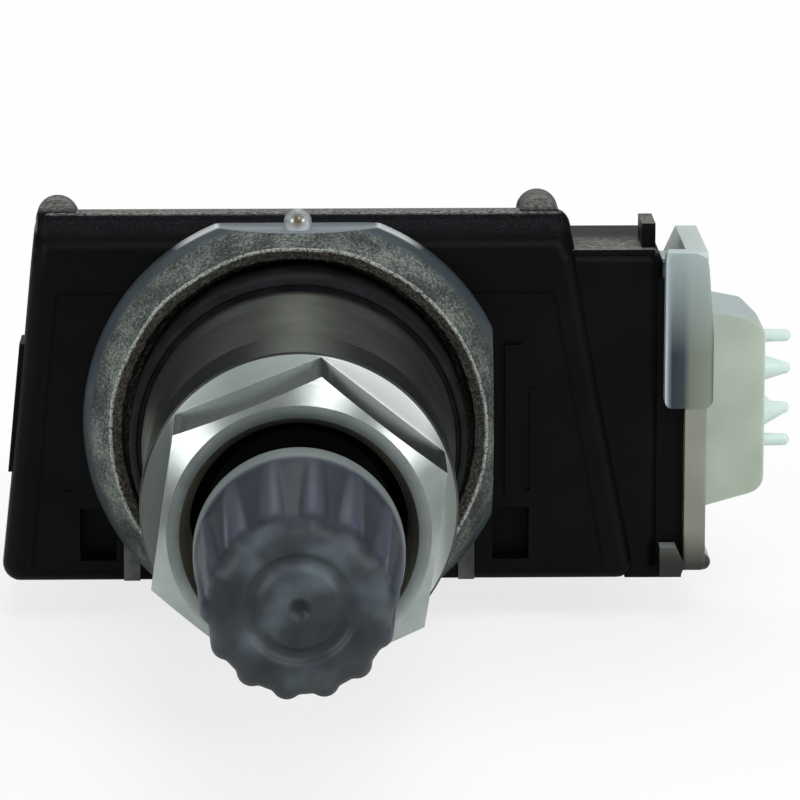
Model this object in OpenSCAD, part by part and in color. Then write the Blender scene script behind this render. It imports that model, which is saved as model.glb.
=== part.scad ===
// Tyre pressure sensor with a clamp-in valve: a moulded housing for a car wheel, worn at its top edges.
// The valve's axis runs along Y and its cap points along -Y. The origin lies on the axis, in the plane
// of the crest of the valve's base, which the rim's inner face meets.

/* [Valve base] */
// Gap between the grommet's flange and the cup round it
cup_gap = 0.5; // [0.3:0.05:0.7]
// Depth of the cup behind the crest
cup_depth = 2.6; // [2:0.1:3]
// Width of the rough bevel between the cup and the crest
cup_bevel = 0.6; // [0.4:0.05:0.8]
// How far that bevel falls back from the crest
bevel_fall = 0.4; // [0.2:0.05:0.6]
// Width of the flat along the crest
crest_land = 0.16; // [0.1:0.02:0.3]
// Width of the cone between the crest and the outer rim
cone_w = 1.6; // [1.3:0.05:1.8]
// How far the cone falls back from the crest to the rim
cone_fall = 2.9; // [2.4:0.1:3.4]
// Thickness of the base, from its crest to its back
base_t = 4.1; // [3.9:0.1:5]
// How far the top flat cuts into the round base
top_cut = 0.9; // [0.4:0.05:1.1]
// How far the side flat cuts into the round base
side_cut = 1.2; // [0.8:0.05:1.4]
// Diameter of the neck behind the base
neck_d = 13.8; // [13.2:0.1:14.6]
// Length of the neck behind the base
neck_l = 3; // [2:0.1:4]
// Diameter of the anti-turn pin in the top flat
pin_d = 1.6; // [1:0.1:1.8]
// Height of the pin's dome above the top flat
pin_rise = 1.1; // [0.9:0.05:1.3]
// Depth of the pin's hole in the top flat
pin_depth = 1.1; // [0.8:0.1:1.4]
// Distance of the pin's axis from the base's back
pin_from_back = 1.8; // [1.4:0.1:2.4]

/* [Base plate] */
// Thickness of the stamped plate behind the base
plate_t = 0.8; // [0.5:0.1:1.2]
// Width of the plate from its hole round the neck to its outer edge
plate_web = 2.8; // [2:0.1:3.2]
// Width of each leg
leg_w = 0.9; // [0.6:0.1:1.4]
// Height of the plate's body above and below the axis
plate_half_h = 7.6; // [7.4:0.1:8]

/* [Grommet] */
// Diameter of the rubber grommet's flange
grommet_d = 18.2; // [17.6:0.1:18.4]
// How far the grommet's face stands ahead of the crest
grommet_face = 2.6; // [2:0.1:3.2]
// Diameter of the neck that fills the valve hole in the rim
rim_neck_d = 15; // [14.4:0.1:15.2]
// Length of that neck
rim_neck_l = 3.4; // [2.5:0.1:4]
// Bevel along the grommet's edges
grommet_bevel = 0.35; // [0.2:0.05:0.5]

/* [Stem] */
// Diameter of the stem's thread for the hex nut
stem_d = 10.8; // [10.2:0.1:11]
// Where the stem's wide thread ends, ahead of the crest
stem_shoulder = 20.2; // [19.5:0.1:21]
// Diameter of the valve thread for the cap
tip_d = 7.7; // [7.4:0.05:7.9]
// Where the stem's tip ends, ahead of the crest
tip_end = 35.6; // [34.5:0.1:36]
// Diameter of the stem's head inside the housing
head_d = 14.6; // [14:0.1:15]
// Thickness of the stem's head
head_t = 1.8; // [1.4:0.1:2.2]
// Diameter of the air passage
air_d = 2.4; // [1.6:0.1:2.8]
// Thickness of the sealing ring behind the stem's head
ring_t = 1.2; // [1:0.1:1.5]
// Bevel at the ends of the stem's threads
thread_bevel = 0.5; // [0.3:0.1:0.7]
// Depth of the relief behind the valve thread
relief_depth = 0.4; // [0.3:0.05:0.5]
// Length of that relief
relief_l = 1; // [0.6:0.1:1.4]

/* [Collar and nut] */
// Diameter of the collar where it meets the grommet
collar_back_d = 16.8; // [16.4:0.1:17.2]
// Diameter of the collar where it meets the nut
collar_front_d = 15.8; // [15.4:0.1:16]
// Length of the collar
collar_l = 10.4; // [9:0.1:11]
// Length of the collar's straight band at the grommet
collar_band = 1.4; // [0.8:0.1:2]
// Diameter of the nut's washer flange
washer_d = 16.2; // [16:0.05:16.6]
// Thickness of the washer flange
washer_t = 4.5; // [3.5:0.1:5]
// Size of the hex across its flats
hex_af = 13.76; // [13.5:0.02:14]
// Height of the hex ahead of the washer flange
hex_h = 5.7; // [5:0.1:5.9]
// Turn of the hex about the axis
hex_turn = 21.7; // [0:0.1:60]
// Diameter of the flat ring on the nut's front face
nut_face_d = 13.2; // [12.8:0.1:13.4]
// Diameter of the countersink at the nut's front
countersink_d = 11.9; // [11.6:0.1:12.4]
// Depth of the countersink
countersink_depth = 1.1; // [0.6:0.1:1.4]

/* [Cap] */
// Outer diameter of the cap at its open end
cap_base_d = 10.4; // [10:0.1:10.6]
// Outer diameter of the cap at its closed end
cap_end_d = 9.4; // [9:0.1:9.6]
// Length of the cap
cap_l = 11.7; // [11:0.1:12.5]
// Thickness of the cap's end wall
cap_wall = 1.3; // [1:0.1:1.6]
// Number of grip ribs round the cap
cap_ribs = 14; // [10:1:16]
// Turn of the ribs about the axis
rib_turn = 4; // [0:0.5:25]
// Diameter of each grip rib
rib_d = 1.5; // [1.2:0.1:1.7]
// Thickness of the sealing washer in the cap
cap_seal_t = 0.9; // [0.6:0.1:1.1]

/* [Valve core] */
// Diameter of the core's threaded head
core_head_d = 5.2; // [4.8:0.1:5.6]
// Length of the core's threaded head
core_head_l = 5; // [4:0.1:6]
// Diameter of the core's barrel
core_barrel_d = 3.6; // [3.2:0.1:4]
// Length of the core behind its head
core_barrel_l = 11; // [9:0.1:12]
// Diameter of the core's pin
core_pin_d = 1.1; // [0.9:0.1:1.3]
// How far the pin can be pushed in
core_travel = 1.2; // [0.8:0.1:1.5]
// Wire diameter of the core's spring
spring_wire = 0.3; // [0.2:0.05:0.35]

/* [Housing] */
// Left edge of the front face at its foot, from the axis
foot_left = 16.45; // [15.8:0.05:17]
// Right edge of the front face at its foot, from the axis
foot_right = 18.6; // [18:0.1:19]
// Left edge of the front face at its top
crown_left = 14.35; // [14:0.05:15]
// Right edge of the front face at its top
crown_right = 14.8; // [14.4:0.1:15.4]
// Depth of the flat underside below the axis
floor_drop = 9.35; // [9.2:0.05:10]
// Height of the front wall's top above the axis
crown_h = 11.3; // [11.2:0.1:12]
// Height above the axis where the front face starts to lean back
crease_h = 8.45; // [8:0.05:9]
// How far the front face leans back above that crease
crown_lean = 0.6; // [0.4:0.05:1]
// Thickness of the front wall's top lip
lip_t = 2; // [1.5:0.1:2.5]
// Height of the roof behind the lip
roof_h = 10.2; // [9.8:0.1:10.4]
// Height of the roof over the end block
end_roof_h = 9.2; // [9:0.1:9.5]
// How far the end block stands back from the front face
end_step = 0.5; // [0.3:0.05:0.8]
// Depth of the housing from its front face
housing_depth = 26; // [25:0.5:28]
// How far behind the front face the roof starts to fall
roof_shelf = 8.3; // [7.5:0.1:9]
// Fall of the roof from there to the back
roof_fall = 6.2; // [5:0.1:7]
// Right end of the end block's full-height part
block_end = 20.1; // [19.8:0.1:20.4]
// Right end of the housing, where the cover is welded on
housing_end = 21.25; // [21.1:0.05:21.6]
// Wall thickness
wall = 1.3; // [1:0.05:1.5]
// Thickness of the front wall behind the valve's base
front_wall = 5.4; // [5:0.1:6]
// How far the end block reaches in behind the front face's right edge
block_lap = 2.8; // [2:0.1:4]
// Radius of the moulded outer edges
edge_r = 1; // [0.6:0.1:1.2]
// Radius of the rail along each top corner
rail_r = 1.15; // [1:0.05:1.3]
// Length of the left top rail
rail_left_l = 1.6; // [1:0.1:6]
// Length of the right top rail
rail_right_l = 3.1; // [2:0.1:6]
// Width of the stop rib at the end block's top
stop_w = 0.75; // [0.6:0.05:1]
// Distance of the stop rib from the end block's right end
stop_inset = 0.45; // [0.2:0.05:0.8]
// Height of the stop rib above the end block's roof
stop_h = 1.35; // [1.1:0.05:1.8]
// Length of the stop rib from front to back
stop_l = 3.2; // [2:0.1:5]
// How far the end block's top lip stands out of its rounded edge
end_lip = 0.15; // [0.1:0.01:0.2]
// Distance of the panel line from the front face's sides
panel_inset = 1.5; // [1:0.1:2]
// Height of the panel line above the axis
panel_h = 7.1; // [6.5:0.1:7.6]
// Depth of the panel line
panel_groove = 0.12; // [0.05:0.01:0.2]
// Gap between the base's side flat and the wide rib beside it
face_rib_gap = 0.75; // [0.5:0.05:1]
// Width of the wide rib on the front face
face_rib_w = 0.95; // [0.7:0.05:1.1]
// Gap between the wide rib and the narrow rib
narrow_rib_gap = 0.45; // [0.3:0.05:0.6]
// Width of the narrow rib
narrow_rib_w = 0.3; // [0.2:0.05:0.4]
// How far the wide rib stands out of the front face
face_rib_t = 0.35; // [0.2:0.05:0.5]
// Depth of both ribs' feet below the axis
face_rib_drop = 4.4; // [4:0.1:4.8]
// Height of the wide rib's top above the axis
face_rib_h = 4.1; // [3:0.1:5]
// Height of the narrow rib's top above the axis
narrow_rib_h = 1.6; // [1:0.1:2.5]
// Diameter of the two spots on the front face
spot_d = 0.5; // [0.4:0.05:0.6]
// Width of the two pockets at the front face's foot
pocket_w = 2; // [1.5:0.1:2.2]
// Height of these pockets
pocket_h = 2.95; // [2:0.05:3.2]
// Depth of these pockets
pocket_depth = 1.6; // [1:0.1:2.5]
// Depth of the pockets' top below the axis
pocket_drop = 5.1; // [4.8:0.1:5.6]
// How far the ridge stands out of the left side
side_ridge_t = 0.25; // [0.15:0.05:0.4]
// Length of the ridge from front to back
side_ridge_l = 2.6; // [1.5:0.1:4]
// Height of the ridge's top above the axis
side_ridge_h = 4; // [3.5:0.1:4.5]
// Depth of the ridge's foot below the axis
side_ridge_drop = 3.2; // [2.8:0.1:3.6]

/* [End cover] */
// Thickness of the cover's plate
cover_t = 1.2; // [1:0.05:1.4]
// Height of the plate's foot above the housing's underside
cover_lift = 0.7; // [0.4:0.05:1]
// How far the front skirt wraps round from the plate
skirt_wrap = 1.1; // [0.9:0.05:1.2]
// Thickness of the front skirt
skirt_t = 1.1; // [0.8:0.1:1.3]
// Height above the axis where the skirt ends
skirt_foot_h = 0.5; // [0:0.1:1]
// Height of the corner foot
foot_h = 2; // [1.7:0.1:2.3]
// How far the cover's bulge stands out of the plate
bulge_x = 3.55; // [3:0.05:4]
// Front of the bulge behind the housing's front face
bulge_front = 3; // [2.5:0.1:4]
// Depth of the bulge from front to back
bulge_depth = 6.4; // [5:0.1:8]
// Top of the bulge above the axis
bulge_top = 5.4; // [5:0.1:6]
// Bottom of the bulge below the axis
bulge_drop = 5.85; // [5:0.05:6]
// Length of the four pips on the bulge
pip_l = 1.7; // [1:0.1:2]
// Diameter of the two middle pips at their root
wide_pip_d = 1.55; // [1.2:0.05:1.6]
// Diameter of the two outer pips at their root
thin_pip_d = 0.75; // [0.6:0.05:0.9]
// Diameter of the pips at their rounded end
pip_end_d = 0.68; // [0.5:0.02:0.74]
// Tilt of the lower middle pip
pip_tilt = 13; // [0:1:15]
// Diameter of the stub left by the mould's gate beside that pip
stub_d = 0.7; // [0.5:0.1:0.8]
// Diameter of the bead along the plate's bottom edge
bead_d = 0.9; // [0.6:0.1:1.2]
// Length of that bead
bead_l = 12; // [8:0.5:16]
// Wall thickness of the hollow bulge
bulge_wall = 1.1; // [0.9:0.05:1.2]
// Diameter of the air hole in the bulge
vent_d = 0.8; // [0.5:0.1:1]
// Diameter of the air filter behind that hole
filter_d = 3; // [2:0.1:3.6]
// Thickness of the air filter
filter_t = 0.5; // [0.3:0.1:0.8]
// Thickness of the rim that plugs into the housing
plug_t = 1; // [0.8:0.05:1.2]
// Length of that rim
plug_l = 2.6; // [2.2:0.1:3]
// Gap between the plug and the housing's opening
plug_gap = 0.1; // [0.05:0.01:0.2]

/* [Electronics] */
// Thickness of the circuit board
board_t = 0.8; // [0.6:0.1:1]
// Length of the circuit board
board_l = 30; // [28:0.5:31]
// Width of the circuit board
board_w = 15; // [14:0.5:15.2]
// Diameter of the lithium cell
cell_d = 16; // [15:0.5:16]
// Thickness of the lithium cell
cell_t = 3.2; // [2.5:0.1:3.4]
// Thickness of the cell's welded tabs
tab_t = 0.2; // [0.15:0.05:0.3]
// Width of the cell's welded tabs
tab_w = 3.4; // [2.5:0.1:4]
// Length of each tab's tongue over the cell
tab_l = 9; // [7:0.5:10]
// Clear height between the cell's tab and the board
board_rise = 1.6; // [1.2:0.1:2]
// Diameter of the posts under the board
post_d = 1.8; // [1.4:0.1:2]
// Length of the pressure chip
chip_l = 7; // [6:0.5:8]
// Width of the pressure chip
chip_w = 6; // [5:0.5:7]
// Height of the pressure chip
chip_h = 1.9; // [1.5:0.1:2.2]
// Diameter of the chip's air port
chip_port_d = 1; // [0.8:0.1:1.4]
// Distance of the chip from the board's left edge
chip_from_left = 14.5; // [14:0.5:16]
// Distance of the chip from the board's front edge
chip_from_front = 5; // [4.5:0.5:7]
// Length of the crystal
crystal_l = 3.2; // [2.5:0.1:3.6]
// Width of the crystal
crystal_w = 2.5; // [2:0.1:3]
// Height of the crystal
crystal_h = 0.8; // [0.6:0.1:1]
// Length of the wake coil
coil_l = 7.2; // [6:0.1:8]
// Width and height of the wake coil's cheeks
coil_side = 2.6; // [2.2:0.1:2.8]
// Thickness of each cheek
coil_cheek = 1.1; // [0.8:0.1:1.4]
// Width of the radio aerial's strip
aerial_w = 1.2; // [0.8:0.1:1.5]
// Thickness of the radio aerial's strip
aerial_t = 0.4; // [0.3:0.05:0.6]
// Height of the radio aerial above the board
aerial_h = 3.2; // [2.8:0.1:3.4]
// Length of each capacitor
capacitor_l = 1.6; // [1.2:0.1:2]
// Width and height of each capacitor
capacitor_w = 0.8; // [0.6:0.1:1]
// Gap between parts on the board
part_gap = 1; // [0.8:0.1:1.2]

/* [Hidden] */
$fn = 96;
edge_fn = 24;
arc_steps = 5;
fit = 0.05;
face_gap = 0.03;
nothing = 0.01;

cup_d = grommet_d + 2 * cup_gap;
crest_d = cup_d + 2 * cup_bevel;
base_d = crest_d + 2 * cone_w;
base_top_flat = base_d / 2 - top_cut;
base_side_flat = base_d / 2 - side_cut;
plate_w = neck_d + 2 * plate_web;
pin_y = base_t - pin_from_back;
front_y = base_t;
back_y = front_y + housing_depth;
wall_back_y = front_y + front_wall;
head_y = wall_back_y;
shelf_y = front_y + roof_shelf;
fall_run = back_y - shelf_y;
fall_angle = atan(roof_fall / fall_run);
plug_face_x = housing_end - plug_l;
cover_x = housing_end + cover_t;
skirt_face_y = front_y + end_step - skirt_t + 0.2;
skirt_end_x = cover_x + 0.35;
cover_foot = -floor_drop + cover_lift;
skirt_start_x = housing_end - skirt_wrap;
vent_y = front_y + bulge_front + bulge_depth / 2;
vent_z = 0.2;
filter_seat_x = cover_x + bulge_x - bulge_wall;
collar_back = grommet_face + face_gap;
collar_front = collar_back + collar_l;
nut_back = collar_front + face_gap;
washer_front = nut_back + washer_t;
nut_front = washer_front + hex_h;
nut_bore_d = stem_d + 2 * fit;
cap_seal_front = tip_end + face_gap + cap_seal_t;
cap_end = cap_seal_front + face_gap + cap_wall;
cap_base = cap_end - cap_l;
core_tip = tip_end - 0.2;
core_seat = core_tip - core_head_l;
core_back = core_seat - core_barrel_l;
barrel_bore_d = core_barrel_d + 0.6;
pin_bore_d = core_pin_d + 0.1;
spring_room_d = core_barrel_d - 0.7;
spring_seat = core_back + 1.4;
spring_top = core_seat - 3;
seal_cup_d = 3.2;
seal_cup_t = 1.1;
plunger_back = core_back - seal_cup_t - 0.5;
chamber_back = plunger_back - core_travel - 0.3;
cavity_x = -crown_left + wall;
cell_floor = -floor_drop + wall + tab_t;
cell_x = cavity_x + 1.3 + cell_d / 2;
cell_y = wall_back_y + 2.6 + cell_d / 2;
board_z = cell_floor + cell_t + tab_t + board_rise;
board_x = cavity_x + 0.4;
board_y = head_y + head_t + 1.2;
board_top = board_z + board_t;
chip_x = board_x + chip_from_left;
chip_y = board_y + chip_from_front;
groove_depth = 0.6;
groove_w = 1;
groove_x = plug_face_x + 0.7;
spring_turns = 6;
ring_points = 12;
wire_sides = 6;
spring_r = (core_pin_d + spring_room_d) / 4;
spring_low = spring_seat + spring_wire / 2 + face_gap;
spring_high = spring_top - 0.6 - spring_wire / 2 - face_gap;

function unit(v) = v / norm(v);

// Points of an outline with each corner turned into an arc of its own radius
function rounded(points, radii) = [
    for (i = [0 : len(points) - 1])
        let (p = points[i],
             before = unit(points[(i + len(points) - 1) % len(points)] - p),
             after = unit(points[(i + 1) % len(points)] - p),
             half = acos(before * after) / 2,
             centre = p + unit(before + after) * radii[i] / sin(half),
             start = p + before * radii[i] / tan(half) - centre,
             finish = p + after * radii[i] / tan(half) - centre,
             from = atan2(start[1], start[0]),
             turn = atan2(start[0] * finish[1] - start[1] * finish[0], start * finish))
            for (s = [0 : arc_steps])
                centre + radii[i] * [cos(from + turn * s / arc_steps), sin(from + turn * s / arc_steps)]
];

// Turns a profile of [radius, distance ahead of the crest] about the valve's axis
module turned(profile) {
    rotate([90, 0, 0]) rotate_extrude() polygon(profile);
}

// Places children that are drawn with +Z pointing ahead of the crest
module ahead(distance) {
    rotate([90, 0, 0]) translate([0, 0, distance]) children();
}

// Extrudes an outline in X and Z from one depth to another
module front_slab(from, to) {
    translate([0, to, 0]) rotate([90, 0, 0]) linear_extrude(to - from) children();
}

// Extrudes an outline in Y and Z from one side to another
module side_slab(from, to) {
    translate([from, 0, 0]) rotate([90, 0, 90]) linear_extrude(to - from) children();
}

// A box given by its lowest and highest corners
module block(low, high) {
    translate(low) cube(high - low);
}

// Side outline of the housing under a roof of the given height, drawn in by an inset
function side_outline(roof, front, inset) =
    let (shoulder = shelf_y + inset * (1 - 1 / cos(fall_angle)) / tan(fall_angle),
         back = back_y - inset,
         back_top = roof - (back - shelf_y) * tan(fall_angle) - inset / cos(fall_angle))
    [[front, -floor_drop + inset], [back, -floor_drop + inset], [back, back_top],
     [shoulder, roof - inset], [front, roof - inset]];

// A block with moulded round edges, hulled over the side outline between two sides that may lean
module moulded_block(outline, left_foot, left_top, right_foot, right_top) {
    hull()
        for (p = outline, side = [0, 1]) {
            rise = (p[1] + floor_drop) / (crown_h + floor_drop);
            left = left_foot + (left_top - left_foot) * rise + edge_r;
            right = right_foot + (right_top - right_foot) * rise - edge_r;
            translate([side == 0 ? left : right,
                       p[0] + (p[0] > shelf_y + 1 ? -edge_r : p[0] < shelf_y - 1 ? edge_r : 0),
                       p[1] + (p[1] < 0 && p[0] < shelf_y || p[1] == -floor_drop ? edge_r : -edge_r)])
                sphere(edge_r, $fn = edge_fn);
        }
}

// How far a side of the front face stands from the axis at a given height
function side_reach(side, z) =
    let (rise = (z + floor_drop) / (crown_h + floor_drop))
    side < 0 ? foot_left + (crown_left - foot_left) * rise
             : foot_right + (crown_right - foot_right) * rise;

// The front wall with its lip, upright below the crease and leaning back above it
module front_lip() {
    hull()
        for (p = [[front_y + edge_r, -floor_drop + edge_r], [front_y + edge_r, crease_h],
                  [front_y + crown_lean + edge_r, crown_h - edge_r],
                  [front_y + crown_lean + lip_t - edge_r / 2, crown_h - edge_r]],
             side = [-1, 1])
            translate([side * (side_reach(side, p[1]) - edge_r), p[0], p[1]])
                sphere(edge_r, $fn = edge_fn);
}

// A rounded rail lying on the roof along a top corner
module top_rail(x, length) {
    radius = rail_r;
    translate([x, front_y + crown_lean + 0.7, crown_h - 0.45]) {
        rotate([-90, 0, 0]) cylinder(r = radius, h = length);
        block([-radius, 0, -radius], [radius, length, 0]);
    }
}

// The cavity for the electronics, open towards the end cover
module cavity() {
    side_slab(cavity_x, housing_end + 1)
        polygon(side_outline(end_roof_h, wall_back_y, wall));
}

// The recess in the front face that takes the base plate
module plate_seat() {
    front_slab(front_y - 1, front_y + plate_t) plate_outline(fit);
}

// A horseshoe that stays behind the round base, with two straight legs down to the housing's foot
module plate_outline(gap) {
    outer = plate_w / 2 + gap;
    inner = plate_w / 2 - leg_w - gap;
    foot = -floor_drop + (gap > 0 ? -edge_r : 0.15);
    difference() {
        circle(outer);
        translate([-outer, -2 * outer - plate_half_h - gap]) square(2 * outer);
    }
    for (side = [-1, 1])
        polygon([[side * outer, foot], [side * inner, foot], [side * inner, 0], [side * outer, 0]]);
}

// The low ribs and spots moulded on the front face beside the valve's base
module face_ribs() {
    wide_x = base_side_flat + face_rib_gap;
    narrow_x = wide_x + face_rib_w + narrow_rib_gap;
    spot_x = base_d / 2 + 1;
    block([wide_x, front_y - face_rib_t, -face_rib_drop], [wide_x + face_rib_w, front_y + 1, face_rib_h]);
    block([narrow_x, front_y - face_rib_t / 2, -face_rib_drop],
          [narrow_x + narrow_rib_w, front_y + 1, narrow_rib_h]);
    for (x = [-spot_x, spot_x])
        translate([x, front_y + 1, -face_rib_drop + 0.1]) rotate([90, 0, 0])
            cylinder(d = spot_d, h = 1 + face_rib_t / 2, $fn = 16);
}

// The two pockets in the front face's foot, beside the plate's legs
module face_pockets() {
    for (x = [-plate_w / 2 - 0.4 - pocket_w, plate_w / 2 + 1])
        block([x, front_y - 1, -pocket_drop - pocket_h],
              [x + pocket_w, front_y + pocket_depth, -pocket_drop]);
}

// Outline of the front face's panel, drawn in from its sides and its top by an inset
module panel_outline(inset) {
    foot = -floor_drop - 1;
    top = panel_h - inset;
    polygon([[-side_reach(-1, foot) + panel_inset + inset, foot],
             [side_reach(1, foot) - panel_inset - inset, foot],
             [side_reach(1, top) - panel_inset - inset, top],
             [-side_reach(-1, top) + panel_inset + inset, top]]);
}

// The shallow line round the front face's panel
module panel_line() {
    line_w = 0.2;
    front_slab(front_y - 1, front_y + panel_groove)
        difference() {
            panel_outline(0);
            panel_outline(line_w);
        }
}

// The ridge on the left side, where the mould's halves meet
module side_ridge() {
    front_slab(front_y + edge_r, front_y + edge_r + side_ridge_l)
        polygon([[-side_reach(-1, side_ridge_h) - side_ridge_t, side_ridge_h],
                 [-side_reach(-1, -side_ridge_drop) - side_ridge_t, -side_ridge_drop],
                 [-side_reach(-1, -side_ridge_drop) + 1, -side_ridge_drop],
                 [-side_reach(-1, side_ridge_h) + 1, side_ridge_h]]);
}

module housing() {
    color([0.06, 0.06, 0.065])
        difference() {
            union() {
                moulded_block(side_outline(roof_h, front_y, 0), -foot_left, -crown_left,
                              foot_right, crown_right);
                moulded_block(side_outline(end_roof_h, front_y + end_step, 0),
                              crown_right - block_lap, crown_right - block_lap, block_end, block_end);
                side_slab(block_end - 2, housing_end)
                    polygon(side_outline(end_roof_h - 1.6, front_y + end_step + 0.3, 0));
                front_lip();
                top_rail(-crown_left + rail_r, rail_left_l);
                top_rail(crown_right - rail_r - 0.4, rail_right_l);
                block([block_end - stop_inset - stop_w, front_y + end_step + 0.8, end_roof_h - 1],
                      [block_end - stop_inset, front_y + end_step + 0.8 + stop_l, end_roof_h + stop_h]);
                block([crown_right - 1, front_y + end_step + end_lip, end_roof_h - 2 * end_lip],
                      [block_end - edge_r / 2, front_y + end_step + 2, end_roof_h]);
                side_ridge();
                face_ribs();
            }
            cavity();
            plate_seat();
            face_pockets();
            panel_line();
            ahead(-front_y - neck_l - fit) cylinder(d = neck_d + 2 * fit, h = neck_l + 1);
            ahead(-wall_back_y - 1) cylinder(d = stem_d + 2 * fit, h = front_wall + 2);
            ahead(-wall_back_y - 1) cylinder(d = head_d - 1, h = ring_t + 1);
            skirt(fit);
        }
    color([0.06, 0.06, 0.065]) board_posts();
}

// Posts on the cavity's floor that carry the circuit board
module board_posts() {
    for (x = [board_x + 1, board_x + board_l - 1], y = [board_y + 1, board_y + board_w - 1])
        translate([x, y, -floor_drop + wall - nothing])
            cylinder(d = post_d, h = board_z + floor_drop - wall - face_gap + nothing, $fn = 32);
}

// The cover's skirt and corner foot, which lap over the housing's front face
module skirt(gap) {
    front_slab(skirt_face_y - 2 * gap, front_y + end_step + 0.3 + gap)
        polygon(rounded([[skirt_start_x - gap, skirt_foot_h - gap], [skirt_end_x, skirt_foot_h - gap],
                         [skirt_end_x, end_roof_h / 2], [cover_x, end_roof_h],
                         [skirt_start_x - gap, end_roof_h]],
                        [0.4, 0.5, 3, 0.9, 0.3]));
    front_slab(skirt_face_y - 2 * gap, front_y + end_step + 0.3 + gap)
        polygon([[skirt_start_x - 0.2 - gap, cover_foot - 0.4 - gap],
                 [housing_end - 0.15, cover_foot - 0.4 - gap],
                 [housing_end + gap, cover_foot - gap], [cover_x - 0.2, cover_foot - gap],
                 [cover_x - 0.2, -floor_drop + foot_h * 0.6],
                 [housing_end + gap, -floor_drop + foot_h * 0.6 + gap],
                 [housing_end - 0.4, -floor_drop + foot_h + gap],
                 [skirt_start_x - 0.2 - gap, -floor_drop + foot_h + gap]]);
}

// The bulge that stands out of the cover's plate, narrower towards its outer face
module cover_bulge() {
    front = front_y + bulge_front;
    back = front + bulge_depth;
    taper = 0.4;
    intersection() {
        front_slab(front, front + bulge_depth)
            polygon(rounded([[housing_end + 0.2, -bulge_drop], [cover_x, -bulge_drop],
                             [cover_x + bulge_x, -bulge_drop + 0.9], [cover_x + bulge_x, bulge_top - 1.3],
                             [cover_x + bulge_x - 1, bulge_top - 0.5], [cover_x, bulge_top],
                             [housing_end + 0.2, bulge_top]],
                            [0.05, 0.05, 1, 0.5, 0.4, 0.05, 0.05]));
        translate([0, 0, -bulge_drop - 1])
            linear_extrude(bulge_drop + bulge_top + 2)
                polygon([[housing_end, front], [cover_x, front], [cover_x + bulge_x, front + taper],
                         [cover_x + bulge_x, back - 4 * taper], [cover_x + bulge_x - 2 * taper, back],
                         [housing_end, back]]);
    }
}

// A round pip with a rounded end, pointing along +X
module pip(root_d, tip_d) {
    rotate([0, 90, 0]) cylinder(d1 = root_d, d2 = tip_d, h = pip_l - tip_d / 2, $fn = 32);
    translate([pip_l - tip_d / 2, 0, 0]) sphere(d = tip_d, $fn = 32);
}

module cover_pips() {
    x = cover_x + bulge_x - nothing;
    middle = (wide_pip_d + vent_d) / 2 + 0.12;
    outer = middle + (wide_pip_d + thin_pip_d) / 2 + 0.55;
    for (side = [-1, 1]) {
        translate([x, vent_y, vent_z + side * middle - 0.08])
            rotate([0, side < 0 ? -pip_tilt : 0, 0]) pip(wide_pip_d, pip_end_d);
        translate([x, vent_y, vent_z + side * outer + 0.08]) pip(thin_pip_d, pip_end_d);
    }
    translate([x + 0.2, vent_y, vent_z - (vent_d + stub_d) / 2]) sphere(d = stub_d, $fn = 24);
}

// Side outline of the cover's plate, whose foot stands above the housing's underside
function cover_outline() = [
    for (p = side_outline(end_roof_h, skirt_face_y, 0)) [p[0], max(p[1], cover_foot)]
];

function plug_outline(inset) = side_outline(end_roof_h, wall_back_y + inset, wall + inset);

module end_cover() {
    color([0.66, 0.72, 0.68, 0.9])
        difference() {
            union() {
                side_slab(housing_end + face_gap, cover_x)
                    polygon(rounded(cover_outline(), [0.4, 1, 1, 0.5, 0.4]));
                skirt(0);
                cover_bulge();
                cover_pips();
                translate([cover_x - 0.1, skirt_face_y + 0.5, cover_foot + 0.35])
                    rotate([-90, 0, 0]) cylinder(d = bead_d, h = bead_l, $fn = 32);
                difference() {
                    side_slab(plug_face_x, housing_end + 1) polygon(plug_outline(plug_gap));
                    side_slab(plug_face_x - 1, housing_end + 2) polygon(plug_outline(plug_gap + plug_t));
                }
            }
            block([housing_end - 1, front_y + bulge_front + bulge_wall, -bulge_drop + bulge_wall + 0.4],
                  [filter_seat_x, front_y + bulge_front + bulge_depth - bulge_wall - 0.3,
                   bulge_top - bulge_wall - 0.6]);
            translate([filter_seat_x - 1, vent_y, vent_z]) rotate([0, 90, 0]) cylinder(d = vent_d, h = 4);
            seal_groove();
        }
}

// The groove round the plug, where the seal lies
module seal_groove() {
    difference() {
        side_slab(groove_x, groove_x + groove_w) polygon(plug_outline(-1));
        side_slab(groove_x - 1, groove_x + groove_w + 1) polygon(plug_outline(plug_gap + groove_depth));
    }
}

module cover_seal() {
    color([0.1, 0.1, 0.1])
        difference() {
            side_slab(groove_x + fit, groove_x + groove_w - fit) polygon(plug_outline(face_gap));
            side_slab(groove_x - 1, groove_x + groove_w + 1)
                polygon(plug_outline(plug_gap + groove_depth - face_gap));
        }
}

module valve_base() {
    crest_r = crest_d / 2;
    rim_r = base_d / 2;
    color([0.3, 0.33, 0.35])
        intersection() {
            difference() {
                turned([[stem_d / 2 + fit, -front_y - neck_l], [neck_d / 2, -front_y - neck_l],
                        [neck_d / 2, -front_y], [rim_r - 0.3, -front_y], [rim_r, -front_y + 0.3],
                        [rim_r, -cone_fall], [rim_r - cone_w * 0.2, -cone_fall * 0.72],
                        [crest_r + cone_w / 2, -cone_fall * 0.38],
                        [crest_r + crest_land / 2, 0], [crest_r - crest_land / 2, 0],
                        [cup_d / 2, -bevel_fall], [cup_d / 2, -cup_depth + grommet_bevel],
                        [cup_d / 2 - grommet_bevel, -cup_depth], [stem_d / 2 + fit, -cup_depth]]);
                pin_hole();
            }
            translate([-base_d, -1, -base_d])
                cube([base_d + base_side_flat, front_y + neck_l + 2, base_d + base_top_flat]);
        }
}

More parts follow.
